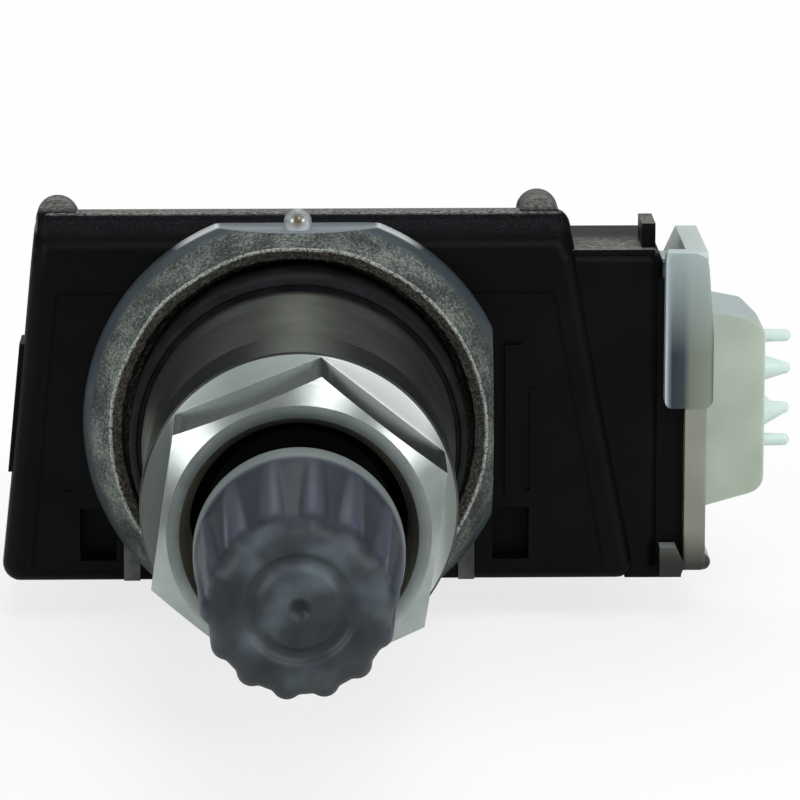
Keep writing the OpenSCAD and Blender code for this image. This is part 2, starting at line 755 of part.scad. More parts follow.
// The hole in the top flat that the pin is pressed into
module pin_hole() {
    translate([0, pin_y, base_top_flat - pin_depth]) cylinder(d = pin_d, h = pin_depth + 1);
}

module anti_turn_pin() {
    color([0.8, 0.82, 0.83])
        translate([0, pin_y, base_top_flat - pin_depth]) {
            cylinder(d = pin_d - 2 * face_gap, h = pin_depth + pin_rise - pin_d / 2);
            translate([0, 0, pin_depth + pin_rise - pin_d / 2])
                rotate_extrude() intersection() {
                    circle(d = pin_d - 2 * face_gap);
                    square(pin_d);
                }
        }
}

module base_plate() {
    color([0.42, 0.43, 0.42])
        difference() {
            front_slab(front_y, front_y + plate_t) plate_outline(0);
            ahead(-front_y - plate_t - 1) cylinder(d = neck_d + 2 * fit, h = plate_t + 2);
        }
}

module grommet() {
    stem_hole = stem_d / 2 + fit;
    color([0.08, 0.08, 0.09])
        turned([[stem_hole, -cup_depth], [grommet_d / 2 - grommet_bevel, -cup_depth],
                [grommet_d / 2, -cup_depth + grommet_bevel], [grommet_d / 2, grommet_face - grommet_bevel],
                [grommet_d / 2 - grommet_bevel, grommet_face], [rim_neck_d / 2, grommet_face],
                [rim_neck_d / 2, grommet_face + rim_neck_l - grommet_bevel],
                [rim_neck_d / 2 - grommet_bevel, grommet_face + rim_neck_l],
                [stem_hole, grommet_face + rim_neck_l]]);
}

module valve_stem() {
    stem_r = stem_d / 2;
    tip_r = tip_d / 2;
    head_back = -head_y - head_t;
    color([0.12, 0.12, 0.13])
        turned([[air_d / 2, head_back], [head_d / 2 - 0.3, head_back], [head_d / 2, head_back + 0.3],
                [head_d / 2, -head_y], [stem_r, -head_y], [stem_r, stem_shoulder - thread_bevel],
                [stem_r - thread_bevel, stem_shoulder], [tip_r - relief_depth, stem_shoulder],
                [tip_r - relief_depth, stem_shoulder + relief_l],
                [tip_r, stem_shoulder + relief_l + relief_depth], [tip_r, tip_end - thread_bevel],
                [tip_r - thread_bevel, tip_end],
                [core_head_d / 2 + fit, tip_end], [core_head_d / 2 + fit, core_seat - fit],
                [barrel_bore_d / 2, core_seat - 0.9], [barrel_bore_d / 2, chamber_back],
                [air_d / 2, chamber_back - 0.8]]);
}

// The ring that seals the stem's head against the housing's front wall
module stem_ring() {
    inner = stem_d / 2 + fit;
    outer = head_d / 2 - 0.5 - fit;
    color([0.1, 0.1, 0.1])
        turned([[inner, -head_y], [outer, -head_y], [outer, -head_y + ring_t - face_gap],
                [inner, -head_y + ring_t - face_gap]]);
}

module collar() {
    bore_r = stem_d / 2 + 0.1;
    pocket_r = rim_neck_d / 2 + 0.2;
    color([0.45, 0.47, 0.45])
        turned([[pocket_r, collar_back], [collar_back_d / 2 - 0.2, collar_back],
                [collar_back_d / 2, collar_back + 0.2], [collar_back_d / 2, collar_back + collar_band],
                [collar_front_d / 2 + 0.15, collar_front - 1], [collar_front_d / 2, collar_front],
                [bore_r, collar_front], [bore_r, collar_back + rim_neck_l + 0.4],
                [pocket_r, collar_back + rim_neck_l + 0.4]]);
}

module hex_nut() {
    washer_r = washer_d / 2;
    bore_r = nut_bore_d / 2;
    bore_front = nut_front - countersink_depth;
    corner_r = hex_af / sqrt(3);
    chamfer = (corner_r - nut_face_d / 2) * tan(30);
    color([0.72, 0.75, 0.74])
        difference() {
            union() {
                turned([[0, nut_back], [washer_r - 0.2, nut_back], [washer_r, nut_back + 0.2],
                        [washer_r, washer_front - 0.15], [washer_r - 0.15, washer_front],
                        [0, washer_front]]);
                intersection() {
                    ahead(washer_front - nothing)
                        rotate([0, 0, hex_turn]) cylinder(r = corner_r, h = hex_h + nothing, $fn = 6);
                    turned([[0, washer_front - 1], [corner_r + 0.01, washer_front - 1],
                            [corner_r + 0.01, nut_front - chamfer], [nut_face_d / 2, nut_front],
                            [0, nut_front]]);
                }
            }
            ahead(nut_back - 1) cylinder(r = bore_r, h = washer_t + hex_h + 2);
            turned([[0, bore_front], [bore_r, bore_front], [countersink_d / 2, nut_front],
                    [countersink_d / 2, nut_front + 1], [0, nut_front + 1]]);
        }
}

module core_body() {
    head_r = core_head_d / 2;
    barrel_r = core_barrel_d / 2;
    color([0.75, 0.62, 0.35])
        difference() {
            turned([[pin_bore_d / 2, core_back], [barrel_r, core_back], [barrel_r, core_seat - 1],
                    [barrel_r - 0.3, core_seat - 0.4], [head_r - 0.3, core_seat + 0.4],
                    [head_r, core_seat + 0.8], [head_r, core_tip - 0.8], [head_r - 0.5, core_tip - 0.8],
                    [1.3, core_tip - 0.8], [1.3, core_tip], [pin_bore_d / 2, core_tip],
                    [pin_bore_d / 2, spring_top], [spring_room_d / 2, spring_top],
                    [spring_room_d / 2, spring_seat], [pin_bore_d / 2, spring_seat]]);
        }
}

module core_gasket() {
    inner = core_barrel_d / 2 + fit / 2;
    outer = barrel_bore_d / 2 - face_gap;
    color([0.8, 0.2, 0.15])
        turned([[inner, core_seat - 2.1], [outer, core_seat - 2.1],
                [outer, core_seat - 1.1], [inner, core_seat - 1.1]]);
}

module core_pin() {
    collar_r = spring_room_d / 2 - 0.15;
    pin_r = core_pin_d / 2;
    color([0.78, 0.66, 0.4])
        turned([[0, plunger_back], [pin_r, plunger_back],
                [pin_r, spring_top - 0.6], [collar_r, spring_top - 0.6], [collar_r, spring_top - 0.05],
                [pin_r, spring_top - 0.05], [pin_r, core_tip + 0.1], [0, core_tip + 0.1]]);
}

// The rubber cup that the pin pulls against the core's inner end
module core_seal() {
    pin_r = core_pin_d / 2 + 0.01;
    color([0.1, 0.1, 0.1])
        turned([[pin_r, core_back - seal_cup_t], [seal_cup_d / 2 - 0.2, core_back - seal_cup_t],
                [seal_cup_d / 2, core_back - face_gap], [pin_r, core_back - face_gap]]);
}

// Centre of the spring's wire after a number of turns
function wire_centre(turns) =
    [spring_r * cos(360 * turns), spring_r * sin(360 * turns),
     spring_low + (spring_high - spring_low) * turns / spring_turns];

module core_spring() {
    rings = spring_turns * ring_points;
    points = [
        for (i = [0 : rings], k = [0 : wire_sides - 1])
            let (turns = i / ring_points, angle = 360 * k / wire_sides, c = wire_centre(turns),
                 out = spring_wire / 2 * cos(angle))
                [c[0] + out * cos(360 * turns), c[1] + out * sin(360 * turns),
                 c[2] + spring_wire / 2 * sin(angle)]
    ];
    sides = [
        for (i = [0 : rings - 1], k = [0 : wire_sides - 1])
            let (n = (k + 1) % wire_sides)
                [i * wire_sides + k, (i + 1) * wire_sides + k, (i + 1) * wire_sides + n, i * wire_sides + n]
    ];
    ends = [[for (k = [0 : wire_sides - 1]) k],
            [for (k = [wire_sides - 1 : -1 : 0]) rings * wire_sides + k]];
    color([0.8, 0.8, 0.8])
        rotate([90, 0, 0]) polyhedron(points, concat(sides, ends));
}

module valve_cap() {
    base_r = cap_base_d / 2;
    end_r = cap_end_d / 2;
    core_r = end_r - rib_d / 5;
    skirt_r = base_r - 0.15;
    rib_top = cap_end - 1.1;
    bore_r = tip_d / 2 + fit;
    color([0.25, 0.28, 0.31])
        difference() {
            union() {
                turned([[0, cap_base], [skirt_r, cap_base], [base_r, cap_base + 0.3],
                        [base_r - 0.05, cap_base + 1.9], [base_r - 0.4, cap_base + 2.3],
                        [core_r, rib_top], [core_r - 0.7, cap_end], [0, cap_end]]);
                for (i = [0 : cap_ribs - 1])
                    ahead(0) rotate([0, 0, rib_turn + 360 * i / cap_ribs])
                        grip_rib(base_r - rib_d / 2 - 0.1, end_r - rib_d / 2, rib_top);
            }
            turned([[0, cap_base - 1], [bore_r, cap_base - 1], [bore_r, cap_seal_front + face_gap],
                    [0, cap_seal_front + face_gap]]);
            ahead(cap_end - 0.35) difference() {
                cylinder(r = 2.6, h = 1);
                translate([0, 0, -1]) cylinder(r = 2.1, h = 3);
            }
            ahead(cap_end - 0.3) cylinder(r = 0.45, h = 1);
        }
}

// One grip rib: a leaning rod from the cap's band to a round head near its end
module grip_rib(foot_r, head_r, top) {
    start = cap_base + 1.6;
    run = top - start;
    translate([foot_r, 0, start])
        rotate([0, -atan((foot_r - head_r) / run), 0])
            cylinder(d = rib_d, h = norm([run, foot_r - head_r]), $fn = 20);
    translate([head_r, 0, top]) sphere(d = rib_d, $fn = 20);
}

module cap_seal() {
    color([0.1, 0.1, 0.1])
        ahead(tip_end + face_gap) cylinder(d = tip_d - 0.4, h = cap_seal_t);
}

module circuit_board() {
    color([0.1, 0.35, 0.2])
        block([board_x, board_y, board_z], [board_x + board_l, board_y + board_w, board_top]);
}

module lithium_cell() {
    step = 0.5;
    color([0.75, 0.75, 0.76])
        translate([cell_x, cell_y, cell_floor]) {
            cylinder(d = cell_d - 2 * step, h = cell_t);
            translate([0, 0, step]) cylinder(d = cell_d, h = cell_t - step);
        }
}

// A welded tab: a flat tongue over the cell's face, bent up beside it to the board
module cell_tab(face_z, side) {
    end_x = cell_x + side * (cell_d / 2 + 0.9);
    start_x = cell_x + side * (cell_d / 2 + 0.9 - tab_l);
    low_x = min(start_x, end_x);
    high_x = max(start_x, end_x);
    block([low_x, cell_y - tab_w / 2, face_z], [high_x, cell_y + tab_w / 2, face_z + tab_t]);
    block([min(end_x, end_x - side * tab_t), cell_y - tab_w / 2, face_z],
          [max(end_x, end_x - side * tab_t), cell_y + tab_w / 2, board_z]);
}

module cell_tab_top() {
    color([0.8, 0.8, 0.78]) cell_tab(cell_floor + cell_t, 1);
}

module cell_tab_bottom() {
    color([0.8, 0.8, 0.78]) cell_tab(cell_floor - tab_t, -1);
}

module pressure_chip() {
    color([0.15, 0.15, 0.16])
        difference() {
            translate([chip_x, chip_y, board_top]) cube([chip_l, chip_w, chip_h]);
            translate([chip_x + chip_l / 2, chip_y + chip_w / 2, board_top + chip_h - 0.6])
                cylinder(d = chip_port_d, h = 1);
        }
}

module crystal() {
    color([0.82, 0.82, 0.8])
        translate([chip_x + chip_l + part_gap, chip_y, board_top]) cube([crystal_w, crystal_l, crystal_h]);
}

// A coil between two cheeks, wound on a square core
module wake_coil() {
    color([0.25, 0.22, 0.2])
        translate([board_x + part_gap, board_y + aerial_w + 2 * part_gap, board_top]) {
            cube([coil_cheek, coil_side, coil_side]);
            translate([coil_l - coil_cheek, 0, 0]) cube([coil_cheek, coil_side, coil_side]);
            translate([coil_cheek - nothing, coil_side / 2, coil_side / 2]) rotate([0, 90, 0])
                cylinder(d = coil_side - 0.5, h = coil_l - 2 * coil_cheek + 2 * nothing);
        }
}

// A bent metal strip that stands on the board by its two feet
module radio_aerial() {
    low_x = board_x + part_gap;
    high_x = board_x + board_l - 2 * part_gap;
    y = board_y + part_gap;
    color([0.8, 0.65, 0.35]) {
        block([low_x, y, board_top + aerial_h - aerial_t], [high_x, y + aerial_w, board_top + aerial_h]);
        for (x = [low_x, high_x - aerial_t])
            block([x, y, board_top], [x + aerial_t, y + aerial_w, board_top + aerial_h]);
    }
}

module capacitors() {
    count = 4;
    color([0.6, 0.5, 0.38])
        for (i = [0 : count - 1])
            translate([chip_x + (capacitor_w + part_gap) * i, chip_y - part_gap - capacitor_l, board_top])
                cube([capacitor_w, capacitor_l, capacitor_w]);
}

// The disc that lets air through to the cavity, over the air hole in the end cover's bulge
module air_filter() {
    color([0.92, 0.92, 0.9])
        translate([filter_seat_x - filter_t, vent_y, vent_z])
            rotate([0, 90, 0]) cylinder(d = filter_d, h = filter_t - face_gap);
}

housing();
end_cover();
cover_seal();
valve_base();
anti_turn_pin();
base_plate();
grommet();
valve_stem();
stem_ring();
collar();
hex_nut();
core_body();
core_gasket();
core_pin();
core_spring();
core_seal();
valve_cap();
cap_seal();
circuit_board();
lithium_cell();
cell_tab_top();
cell_tab_bottom();
pressure_chip();
crystal();
wake_coil();
radio_aerial();
capacitors();
air_filter();
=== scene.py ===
import math
from types import SimpleNamespace

import bmesh
import bpy
from mathutils import Matrix, Vector, noise


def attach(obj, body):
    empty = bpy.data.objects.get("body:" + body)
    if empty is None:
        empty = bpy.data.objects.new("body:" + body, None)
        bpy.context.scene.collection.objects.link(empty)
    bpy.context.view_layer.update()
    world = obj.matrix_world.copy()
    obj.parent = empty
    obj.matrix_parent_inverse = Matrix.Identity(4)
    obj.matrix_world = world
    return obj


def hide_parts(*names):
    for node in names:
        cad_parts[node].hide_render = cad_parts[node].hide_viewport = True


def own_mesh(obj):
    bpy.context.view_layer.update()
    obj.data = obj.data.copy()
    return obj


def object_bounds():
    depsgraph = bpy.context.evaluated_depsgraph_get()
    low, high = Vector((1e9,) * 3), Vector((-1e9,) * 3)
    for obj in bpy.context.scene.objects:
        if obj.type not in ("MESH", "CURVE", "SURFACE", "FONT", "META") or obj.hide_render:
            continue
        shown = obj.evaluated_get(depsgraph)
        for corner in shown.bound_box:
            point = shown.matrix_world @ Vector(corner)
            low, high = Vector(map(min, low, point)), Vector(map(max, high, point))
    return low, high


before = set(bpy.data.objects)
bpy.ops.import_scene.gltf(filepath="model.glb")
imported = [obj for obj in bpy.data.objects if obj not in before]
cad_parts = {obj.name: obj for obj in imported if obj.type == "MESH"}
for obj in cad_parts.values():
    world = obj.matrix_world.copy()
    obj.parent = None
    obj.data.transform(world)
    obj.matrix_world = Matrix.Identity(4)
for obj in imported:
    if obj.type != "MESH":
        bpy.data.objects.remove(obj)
cad_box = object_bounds()


# Camera: it stands 263 mm in front of the valve, 12.5 degrees above it, and sees the cap end-on.
# Its long lens keeps the photograph's perspective, in which the cap looks larger than the base.
scene = bpy.context.scene
scene.view_settings.view_transform = "Standard"
lens = bpy.data.cameras.new("camera")
lens.lens = 218.3
lens.sensor_width = 36
lens.clip_start = 0.01
camera = bpy.data.objects.new("camera", lens)
camera.location = (0, -0.25677, 0.05692)
aim = Vector((0.0055, 0.00039, 0.00177)) - camera.location
camera.rotation_euler = aim.to_track_quat("-Z", "Y").to_euler()
scene.collection.objects.link(camera)
scene.camera = camera


# Studio light: a large softbox above in front, one at each side and one behind. The room is white
# to the eye. A gloss sees it grey in front and dark behind, with a paler strip straight behind and
# three soft lamps in front, so that chamfers shine in spots beside dark sides.
def linear(code):
    """An sRGB hex colour as the linear colour that Blender's sockets take."""
    values = [int(code[i:i + 2], 16) / 255 for i in (1, 3, 5)]
    return [v / 12.92 if v <= 0.04045 else ((v + 0.055) / 1.055) ** 2.4 for v in values] + [1]


def plug(tree, node, inputs):
    """Sets a node's inputs, by name or number. Each is a hex colour, a value, a socket, or a node,
    whose first output in use is linked."""
    for key, value in inputs.items():
        named = [socket for socket in node.inputs if socket.name == key and socket.enabled]
        socket = named[0] if named else node.inputs[key]
        if isinstance(value, bpy.types.Node):
            value = next(output for output in value.outputs if output.enabled)
        if isinstance(value, bpy.types.NodeSocket):
            tree.links.new(value, socket)
        else:
            socket.default_value = linear(value) if isinstance(value, str) else value


def add(tree, kind, inputs=None, stops=(), **settings):
    """Adds a shader node with its settings, its inputs and the stops of its colour ramp."""
    node = tree.nodes.new("ShaderNode" + kind)
    for name, value in settings.items():
        setattr(node, name, value)
    plug(tree, node, inputs or {})
    for number, (position, code) in enumerate(stops):
        ramp = node.color_ramp.elements
        stop = ramp[number] if number < 2 else ramp.new(position)
        stop.position = position
        stop.color = linear(code)
    return node


for name, place, size, power in (("softbox_front", (0.08, -0.38, 0.42), 0.26, 1.3),
                                 ("softbox_left", (-0.42, -0.32, 0.22), 0.16, 0.7),
                                 ("softbox_right", (0.46, -0.24, 0.3), 0.2, 0.8),
                                 ("softbox_back", (0.05, 0.34, 0.5), 0.3, 1.1)):
    lamp = bpy.data.lights.new(name, "AREA")
    lamp.size = size
    lamp.energy = power
    softbox = bpy.data.objects.new(name, lamp)
    softbox.location = place
    softbox.rotation_euler = (-Vector(place)).to_track_quat("-Z", "Y").to_euler()
    softbox.visible_glossy = False
    scene.collection.objects.link(softbox)

# Each soft lamp is a disc that fades between two angles from its direction, given as cosines.
disc_edge, disc_core, disc_power = 0.972, 0.992, 3.5
room = bpy.data.worlds.new("room")
room.use_nodes = True
tree = room.node_tree
rays = add(tree, "LightPath").outputs
toward = add(tree, "TexCoord").outputs["Generated"]
sky = add(tree, "SeparateXYZ", {0: toward}).outputs
left = add(tree, "ValToRGB", {"Fac": sky["Z"]},
           stops=((0, "#8a8d8e"), (0.3, "#b2b5b6"), (0.9, "#8a8d8f")))
right = add(tree, "ValToRGB", {"Fac": sky["Z"]},
            stops=((0, "#d4d8d6"), (0.08, "#d4d8d6"), (0.16, "#6f7375"), (0.3, "#9a9d9f"),
                   (0.9, "#8a8d8f")))
side = add(tree, "MapRange", {"Value": sky["X"], "From Min": 0, "From Max": 0.25})
front = add(tree, "Mix", {"Factor": side, "A": left, "B": right}, data_type="RGBA")
rear = add(tree, "ValToRGB", {"Fac": sky["Z"]},
           stops=((0.05, "#1d1f20"), (0.3, "#3a3d40"), (0.8, "#9da1a4")))
aside = add(tree, "Math", {0: sky["X"]}, operation="ABSOLUTE")
strip = add(tree, "MapRange", {"Value": aside, "From Min": 0.18, "From Max": 0, "To Max": 0.9})
rear = add(tree, "Mix", {"Factor": strip, "A": rear, "B": "#e6eae4"}, data_type="RGBA")
depth = add(tree, "MapRange", {"Value": sky["Y"], "From Min": -0.25, "From Max": 0.3})
mirrored = add(tree, "Mix", {"Factor": depth, "A": front, "B": rear}, data_type="RGBA")
lit = 0
for direction in ((0.2, -0.67, 0.71), (0.69, -0.61, 0.39), (-0.7, -0.61, 0.37)):
    near = add(tree, "VectorMath", {0: toward, 1: direction}, operation="DOT_PRODUCT")
    disc = add(tree, "MapRange", {"Value": near, "From Min": disc_edge, "From Max": disc_core})
    lit = add(tree, "Math", {0: lit, 1: disc}, operation="MAXIMUM")
mirrored = add(tree, "Mix", {"Factor": lit, "A": mirrored, "B": "#ffffff"}, data_type="RGBA")
gleam = add(tree, "Math", {0: lit, 1: rays["Is Glossy Ray"]}, operation="MULTIPLY")
power = add(tree, "Math", {0: gleam, 1: disc_power, 2: 1}, operation="MULTIPLY_ADD")
unseen = add(tree, "Mix", {"Factor": rays["Is Glossy Ray"], "A": "#a9abae", "B": mirrored},
             data_type="RGBA")
seen = add(tree, "Math", {0: rays["Is Camera Ray"], 1: rays["Is Transmission Ray"]},
           operation="MAXIMUM")
shade = add(tree, "Mix", {"Factor": seen, "A": unseen, "B": "#ffffff"}, data_type="RGBA")
plug(tree, tree.nodes["Background"], {"Color": shade, "Strength": power})
scene.world = room


# Floor: a pale sheet under the round base. The eye sees it as white with the part's soft shadow,
# and it glows a little more for the eye away from the part. A gloss sees it pale beside the part
# and grey farther ahead, darker at the left, and that shades the faces that look forward.
def shaped(name, bm, material, sharp=32, scale=0.001):
    """Makes a piece of a bmesh drawn in millimetres, smooth but for edges over the sharp angle."""
    bmesh.ops.scale(bm, vec=(scale, scale, scale), verts=bm.verts)
    bmesh.ops.remove_doubles(bm, verts=bm.verts, dist=1e-8)
    bmesh.ops.recalc_face_normals(bm, faces=bm.faces)
    for face in bm.faces:
        face.smooth = True
    for edge in bm.edges:
        edge.smooth = len(edge.link_faces) == 2 and edge.calc_face_angle() < math.radians(sharp)
    mesh = bpy.data.meshes.new(name)
    bm.to_mesh(mesh)
    bm.free()
    mesh.materials.append(material)
    piece = bpy.data.objects.new(name, mesh)
    scene.collection.objects.link(piece)
    return piece


def zones(tree, place, **spans):
    """Named shares that change along stretches of a piece. A span holds its axis, which is X, Y, Z
    or the radius R round the valve, the two places in millimetres between which the share goes from
    0 to 1, and other end values where it has them. The bare axes are given too, in metres."""
    axes = add(tree, "SeparateXYZ", {0: place}).outputs
    sideways = add(tree, "CombineXYZ", {"X": axes["X"], "Z": axes["Z"]})
    radius = add(tree, "VectorMath", {0: sideways}, operation="LENGTH")
    found = dict(axes.items(), R=radius)
    for name, (axis, start, end, *shares) in spans.items():
        least, most = shares or (0, 1)
        found[name] = add(tree, "MapRange", {
            "Value": found[axis], "From Min": start / 1000, "From Max": end / 1000,
            "To Min": least, "To Max": most})
    return SimpleNamespace(**found)


floor_half, floor_gap = 1500, 0.05
shadow_end, plain_start, shadow_share, plain_share = 20, 90, 0.78, 0.97
paper = bpy.data.materials.new("matt_white_paper")
paper.use_nodes = True
tree = paper.node_tree
rays = add(tree, "LightPath").outputs
place = add(tree, "TexCoord").outputs["Object"]
away = add(tree, "VectorMath", {0: place}, operation="LENGTH")
lift = add(tree, "MapRange", {
    "Value": away, "From Min": shadow_end / 1000, "From Max": plain_start / 1000,
    "To Min": shadow_share, "To Max": plain_share})
seen = add(tree, "Math", {0: rays["Is Camera Ray"], 1: rays["Is Transmission Ray"]},
           operation="MAXIMUM")
share = add(tree, "Math", {0: seen, 1: lift}, operation="MULTIPLY")
zone = zones(tree, place, across=("X", -8, 8), beside=("Y", -60, -42))
card = add(tree, "ValToRGB", {"Fac": zone.across}, stops=((0, "#767978"), (1, "#8f9291")))
card = add(tree, "Mix", {"Factor": zone.beside, "A": card, "B": "#cbcecc"}, data_type="RGBA")
tone = add(tree, "Mix", {"Factor": rays["Is Glossy Ray"], "A": "#eeeeee", "B": card},
           data_type="RGBA")
matt = add(tree, "BsdfDiffuse", {"Color": tone})
glow = add(tree, "Emission", {"Color": "#ffffff", "Strength": 1})
sheet = add(tree, "MixShader", {0: share, 1: matt, 2: glow})
plug(tree, tree.nodes["Material Output"], {"Surface": sheet})
bm = bmesh.new()
bmesh.ops.create_grid(bm, x_segments=1, y_segments=1, size=floor_half)
bmesh.ops.translate(bm, vec=(0, 0, cad_box[0][2] * 1000 - floor_gap), verts=bm.verts)
floor = shaped("floor", bm, paper)


# Housing: the black box that holds the electronics, injection moulded in glass-filled polyamide
# (PA66). Its flat faces carry a fine spark-eroded grain, and its top edge, rails and stop rib are
# rubbed to a thin streaky grey where they face up. A thin painted highlight runs along the rounding
# of its top left corner.
def begin(name, **sockets):
    """Starts a material: gives it, its tree, its shader and the place of each point on the part."""
    material = bpy.data.materials.new(name)
    material.use_nodes = True
    tree = material.node_tree
    shader = tree.nodes["Principled BSDF"]
    plug(tree, shader, {key.replace("_", " "): value for key, value in sockets.items()})
    return material, tree, shader, add(tree, "TexCoord").outputs["Object"]


def refined(node, bevel, sharp=40):
    """A copy of a CAD node as one merged skin in millimetres, with its sharp edges bevelled."""
    bm = bmesh.new()
    bm.from_mesh(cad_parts[node].data)
    bmesh.ops.scale(bm, vec=(1000, 1000, 1000), verts=bm.verts)
    bmesh.ops.remove_doubles(bm, verts=bm.verts, dist=0.0005)
    bmesh.ops.dissolve_limit(bm, angle_limit=math.radians(0.5), verts=bm.verts, edges=bm.edges)
    edges = [e for e in bm.edges if len(e.link_faces) == 2
             and e.calc_face_angle() > math.radians(sharp) and e.calc_length() > 2 * bevel]
    if bevel:
        bmesh.ops.bevel(bm, geom=edges, offset=bevel, segments=2, profile=0.5, affect="EDGES",
                        material=-1, clamp_overlap=True)
    return bm


def even(piece):
    """Lets the large flat faces of a piece set the shading of the roundings beside them."""
    shading = piece.modifiers.new("shading", "WEIGHTED_NORMAL")
    shading.keep_sharp = True
    return piece


grain_mm, scuff_mm, streak, patch_mm = 0.09, 0.12, 0.5, 4
polyamide, tree, shader, place = begin("moulded_black_polyamide", IOR=1.53,
                                       Specular_IOR_Level=0.12)
zone = zones(tree, place, top=("Z", 11.12, 11.22), lip=("Y", 6.8, 6.2, 0.3, 1),
             end_top=("Z", 8.8, 9.1), end_side=("X", 14.8, 15.1), end_front=("Y", 9.5, 7.5),
             rails=("Z", 11.25, 11.5, 0, 0.75), corner=("X", -14.22, -14.4),
             corner_top=("Z", 10.1, 10.7), upper=("Z", 10.1, 10.4))
facing = add(tree, "SeparateXYZ", {0: add(tree, "NewGeometry").outputs["Normal"]}).outputs
grain = add(tree, "TexNoise", {"Vector": place, "Scale": 1000 / grain_mm, "Detail": 2})
patch = add(tree, "TexNoise", {"Vector": place, "Scale": 1000 / patch_mm, "Detail": 3})
along = add(tree, "Mapping", {"Vector": place, "Scale": (streak, 1, 1)})
scuff = add(tree, "TexNoise", {"Vector": along, "Scale": 1000 / scuff_mm, "Detail": 4,
                               "Roughness": 0.6})
upward = add(tree, "MapRange", {"Value": facing["Z"], "From Min": 0.45, "From Max": 0.8})
rubbed = add(tree, "MapRange", {"Value": scuff, "From Min": 0.3, "From Max": 0.48})
end_worn = add(tree, "Math", {0: zone.end_top, 1: zone.end_side}, operation="MULTIPLY")
end_worn = add(tree, "Math", {0: end_worn, 1: zone.end_front}, operation="MULTIPLY")
worn = zone.top
for way, share in (("MULTIPLY", zone.lip), ("MAXIMUM", end_worn), ("MULTIPLY", upward),
                   ("MULTIPLY", rubbed), ("MAXIMUM", zone.rails)):
    worn = add(tree, "Math", {0: worn, 1: share}, operation=way)
# corner: a painted highlight, a thin pale line along the rounding of the top left corner
corner = add(tree, "Math", {0: zone.corner, 1: zone.corner_top}, operation="MULTIPLY")
speck = add(tree, "MapRange", {"Value": grain, "From Min": 0.5, "From Max": 0.68})
speck = add(tree, "Math", {0: speck, 1: zone.upper}, operation="MULTIPLY")
black = add(tree, "ValToRGB", {"Fac": patch}, stops=((0.35, "#040405"), (0.7, "#09090a")))
grey = add(tree, "ValToRGB", {"Fac": scuff}, stops=((0.38, "#4e4e4b"), (0.64, "#8a8a85")))
skin = black
for share, colour in ((speck, "#202027"), (worn, grey), (corner, "#9ba3a4")):
    skin = add(tree, "Mix", {"Factor": share, "A": skin, "B": colour}, data_type="RGBA")
dull = add(tree, "MapRange", {"Value": worn, "To Min": 0.42, "To Max": 0.7})
relief = add(tree, "Bump", {"Height": grain, "Strength": 0.2, "Distance": 0.00002})
relief = add(tree, "Bump", {"Height": worn, "Strength": 0.5, "Distance": 0.00003,
                            "Normal": relief})
plug(tree, shader, {"Base Color": skin, "Roughness": dull, "Normal": relief})

housing = even(shaped("housing_shell", refined("housing", 0), polyamide))
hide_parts("housing")
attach(housing, "sensor")


# End cover: a lid moulded in natural, unfilled polyamide and welded on the housing's open end. It
# is milky and lets light in at its thin skirt, pips and edges, which look paler and greener than
# its thick plate. Its colours also carry painted light: a highlight on the skirt's left edge, up
# high and on faces that look up, and shade where the black housing lies behind the skirt, low down
# and on its foot.
cloud_mm, scratch_mm = 4, 0.3
natural, tree, shader, place = begin("moulded_natural_polyamide", IOR=1.53, Subsurface_Weight=0.3,
                                     Subsurface_Scale=0.001, Subsurface_Radius=(1, 1, 0.85))
# high lays a painted highlight over the upper part, and low lays painted shade over the lowest
# part.
zone = zones(tree, place, across=("X", 20.15, 22.8), bulge=("X", 22.6, 22.8),
             pips=("X", 25.85, 26.2), skirt=("Y", 4.95, 4.8), skirt_foot=("Z", 0.4, 0.5),
             high=("Z", 3.5, 8.8, 0, 0.75), low=("Z", -6.4, -8.4), foot=("X", 21.45, 21.3))
facing = add(tree, "SeparateXYZ", {0: add(tree, "NewGeometry").outputs["Normal"]}).outputs
cloud = add(tree, "TexNoise", {"Vector": place, "Scale": 1000 / cloud_mm, "Detail": 2})
scratch = add(tree, "TexNoise", {"Vector": place, "Scale": 1000 / scratch_mm, "Detail": 3})
plate_tone = add(tree, "ValToRGB", {"Fac": cloud}, stops=((0.3, "#7d7f71"), (0.7, "#8d9084")))
bulge_tone = add(tree, "ValToRGB", {"Fac": cloud}, stops=((0.3, "#a5b0a0"), (0.7, "#b9c4b5")))
# The skirt: a painted highlight on its left edge, painted shade where the black housing lies behind
# it, then its own olive grey, darker at its right edge.
skirt_tone_and_painted_light = add(tree, "ValToRGB", {"Fac": zone.across},
                 stops=((0, "#c6d0cd"), (0.07, "#6f7b80"), (0.14, "#262e37"), (0.38, "#2f3840"),
                        (0.52, "#6f776c"), (0.93, "#7e8679"), (1, "#4c524a")))
skirt = add(tree, "Math", {0: zone.skirt, 1: zone.skirt_foot}, operation="MULTIPLY")
# Painted light on faces that look up, and painted shade on the foot at the bottom.
upward = add(tree, "MapRange", {"Value": facing["Z"], "From Min": 0.25, "From Max": 0.7})
foot = add(tree, "Math", {0: zone.foot, 1: zone.low}, operation="MULTIPLY")
tone = plate_tone
for share, colour in ((zone.bulge, bulge_tone), (skirt, skirt_tone_and_painted_light), (zone.high, "#a9b8b8"),
                      (zone.low, "#2e302b"), (upward, "#bcc8c6"), (foot, "#1d1e1a"),
                      (zone.pips, "#cfe2da")):
    tone = add(tree, "Mix", {"Factor": share, "A": tone, "B": colour}, data_type="RGBA")
sheen = add(tree, "MapRange", {"Value": scratch, "To Min": 0.24, "To Max": 0.4})
relief = add(tree, "Bump", {"Height": scratch, "Strength": 0.15, "Distance": 0.00002})
plug(tree, shader, {"Base Color": tone, "Roughness": sheen, "Normal": relief})

cover = even(shaped("end_cover_lid", refined("end_cover", 0.12), natural))
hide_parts("end_cover")
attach(cover, "sensor")
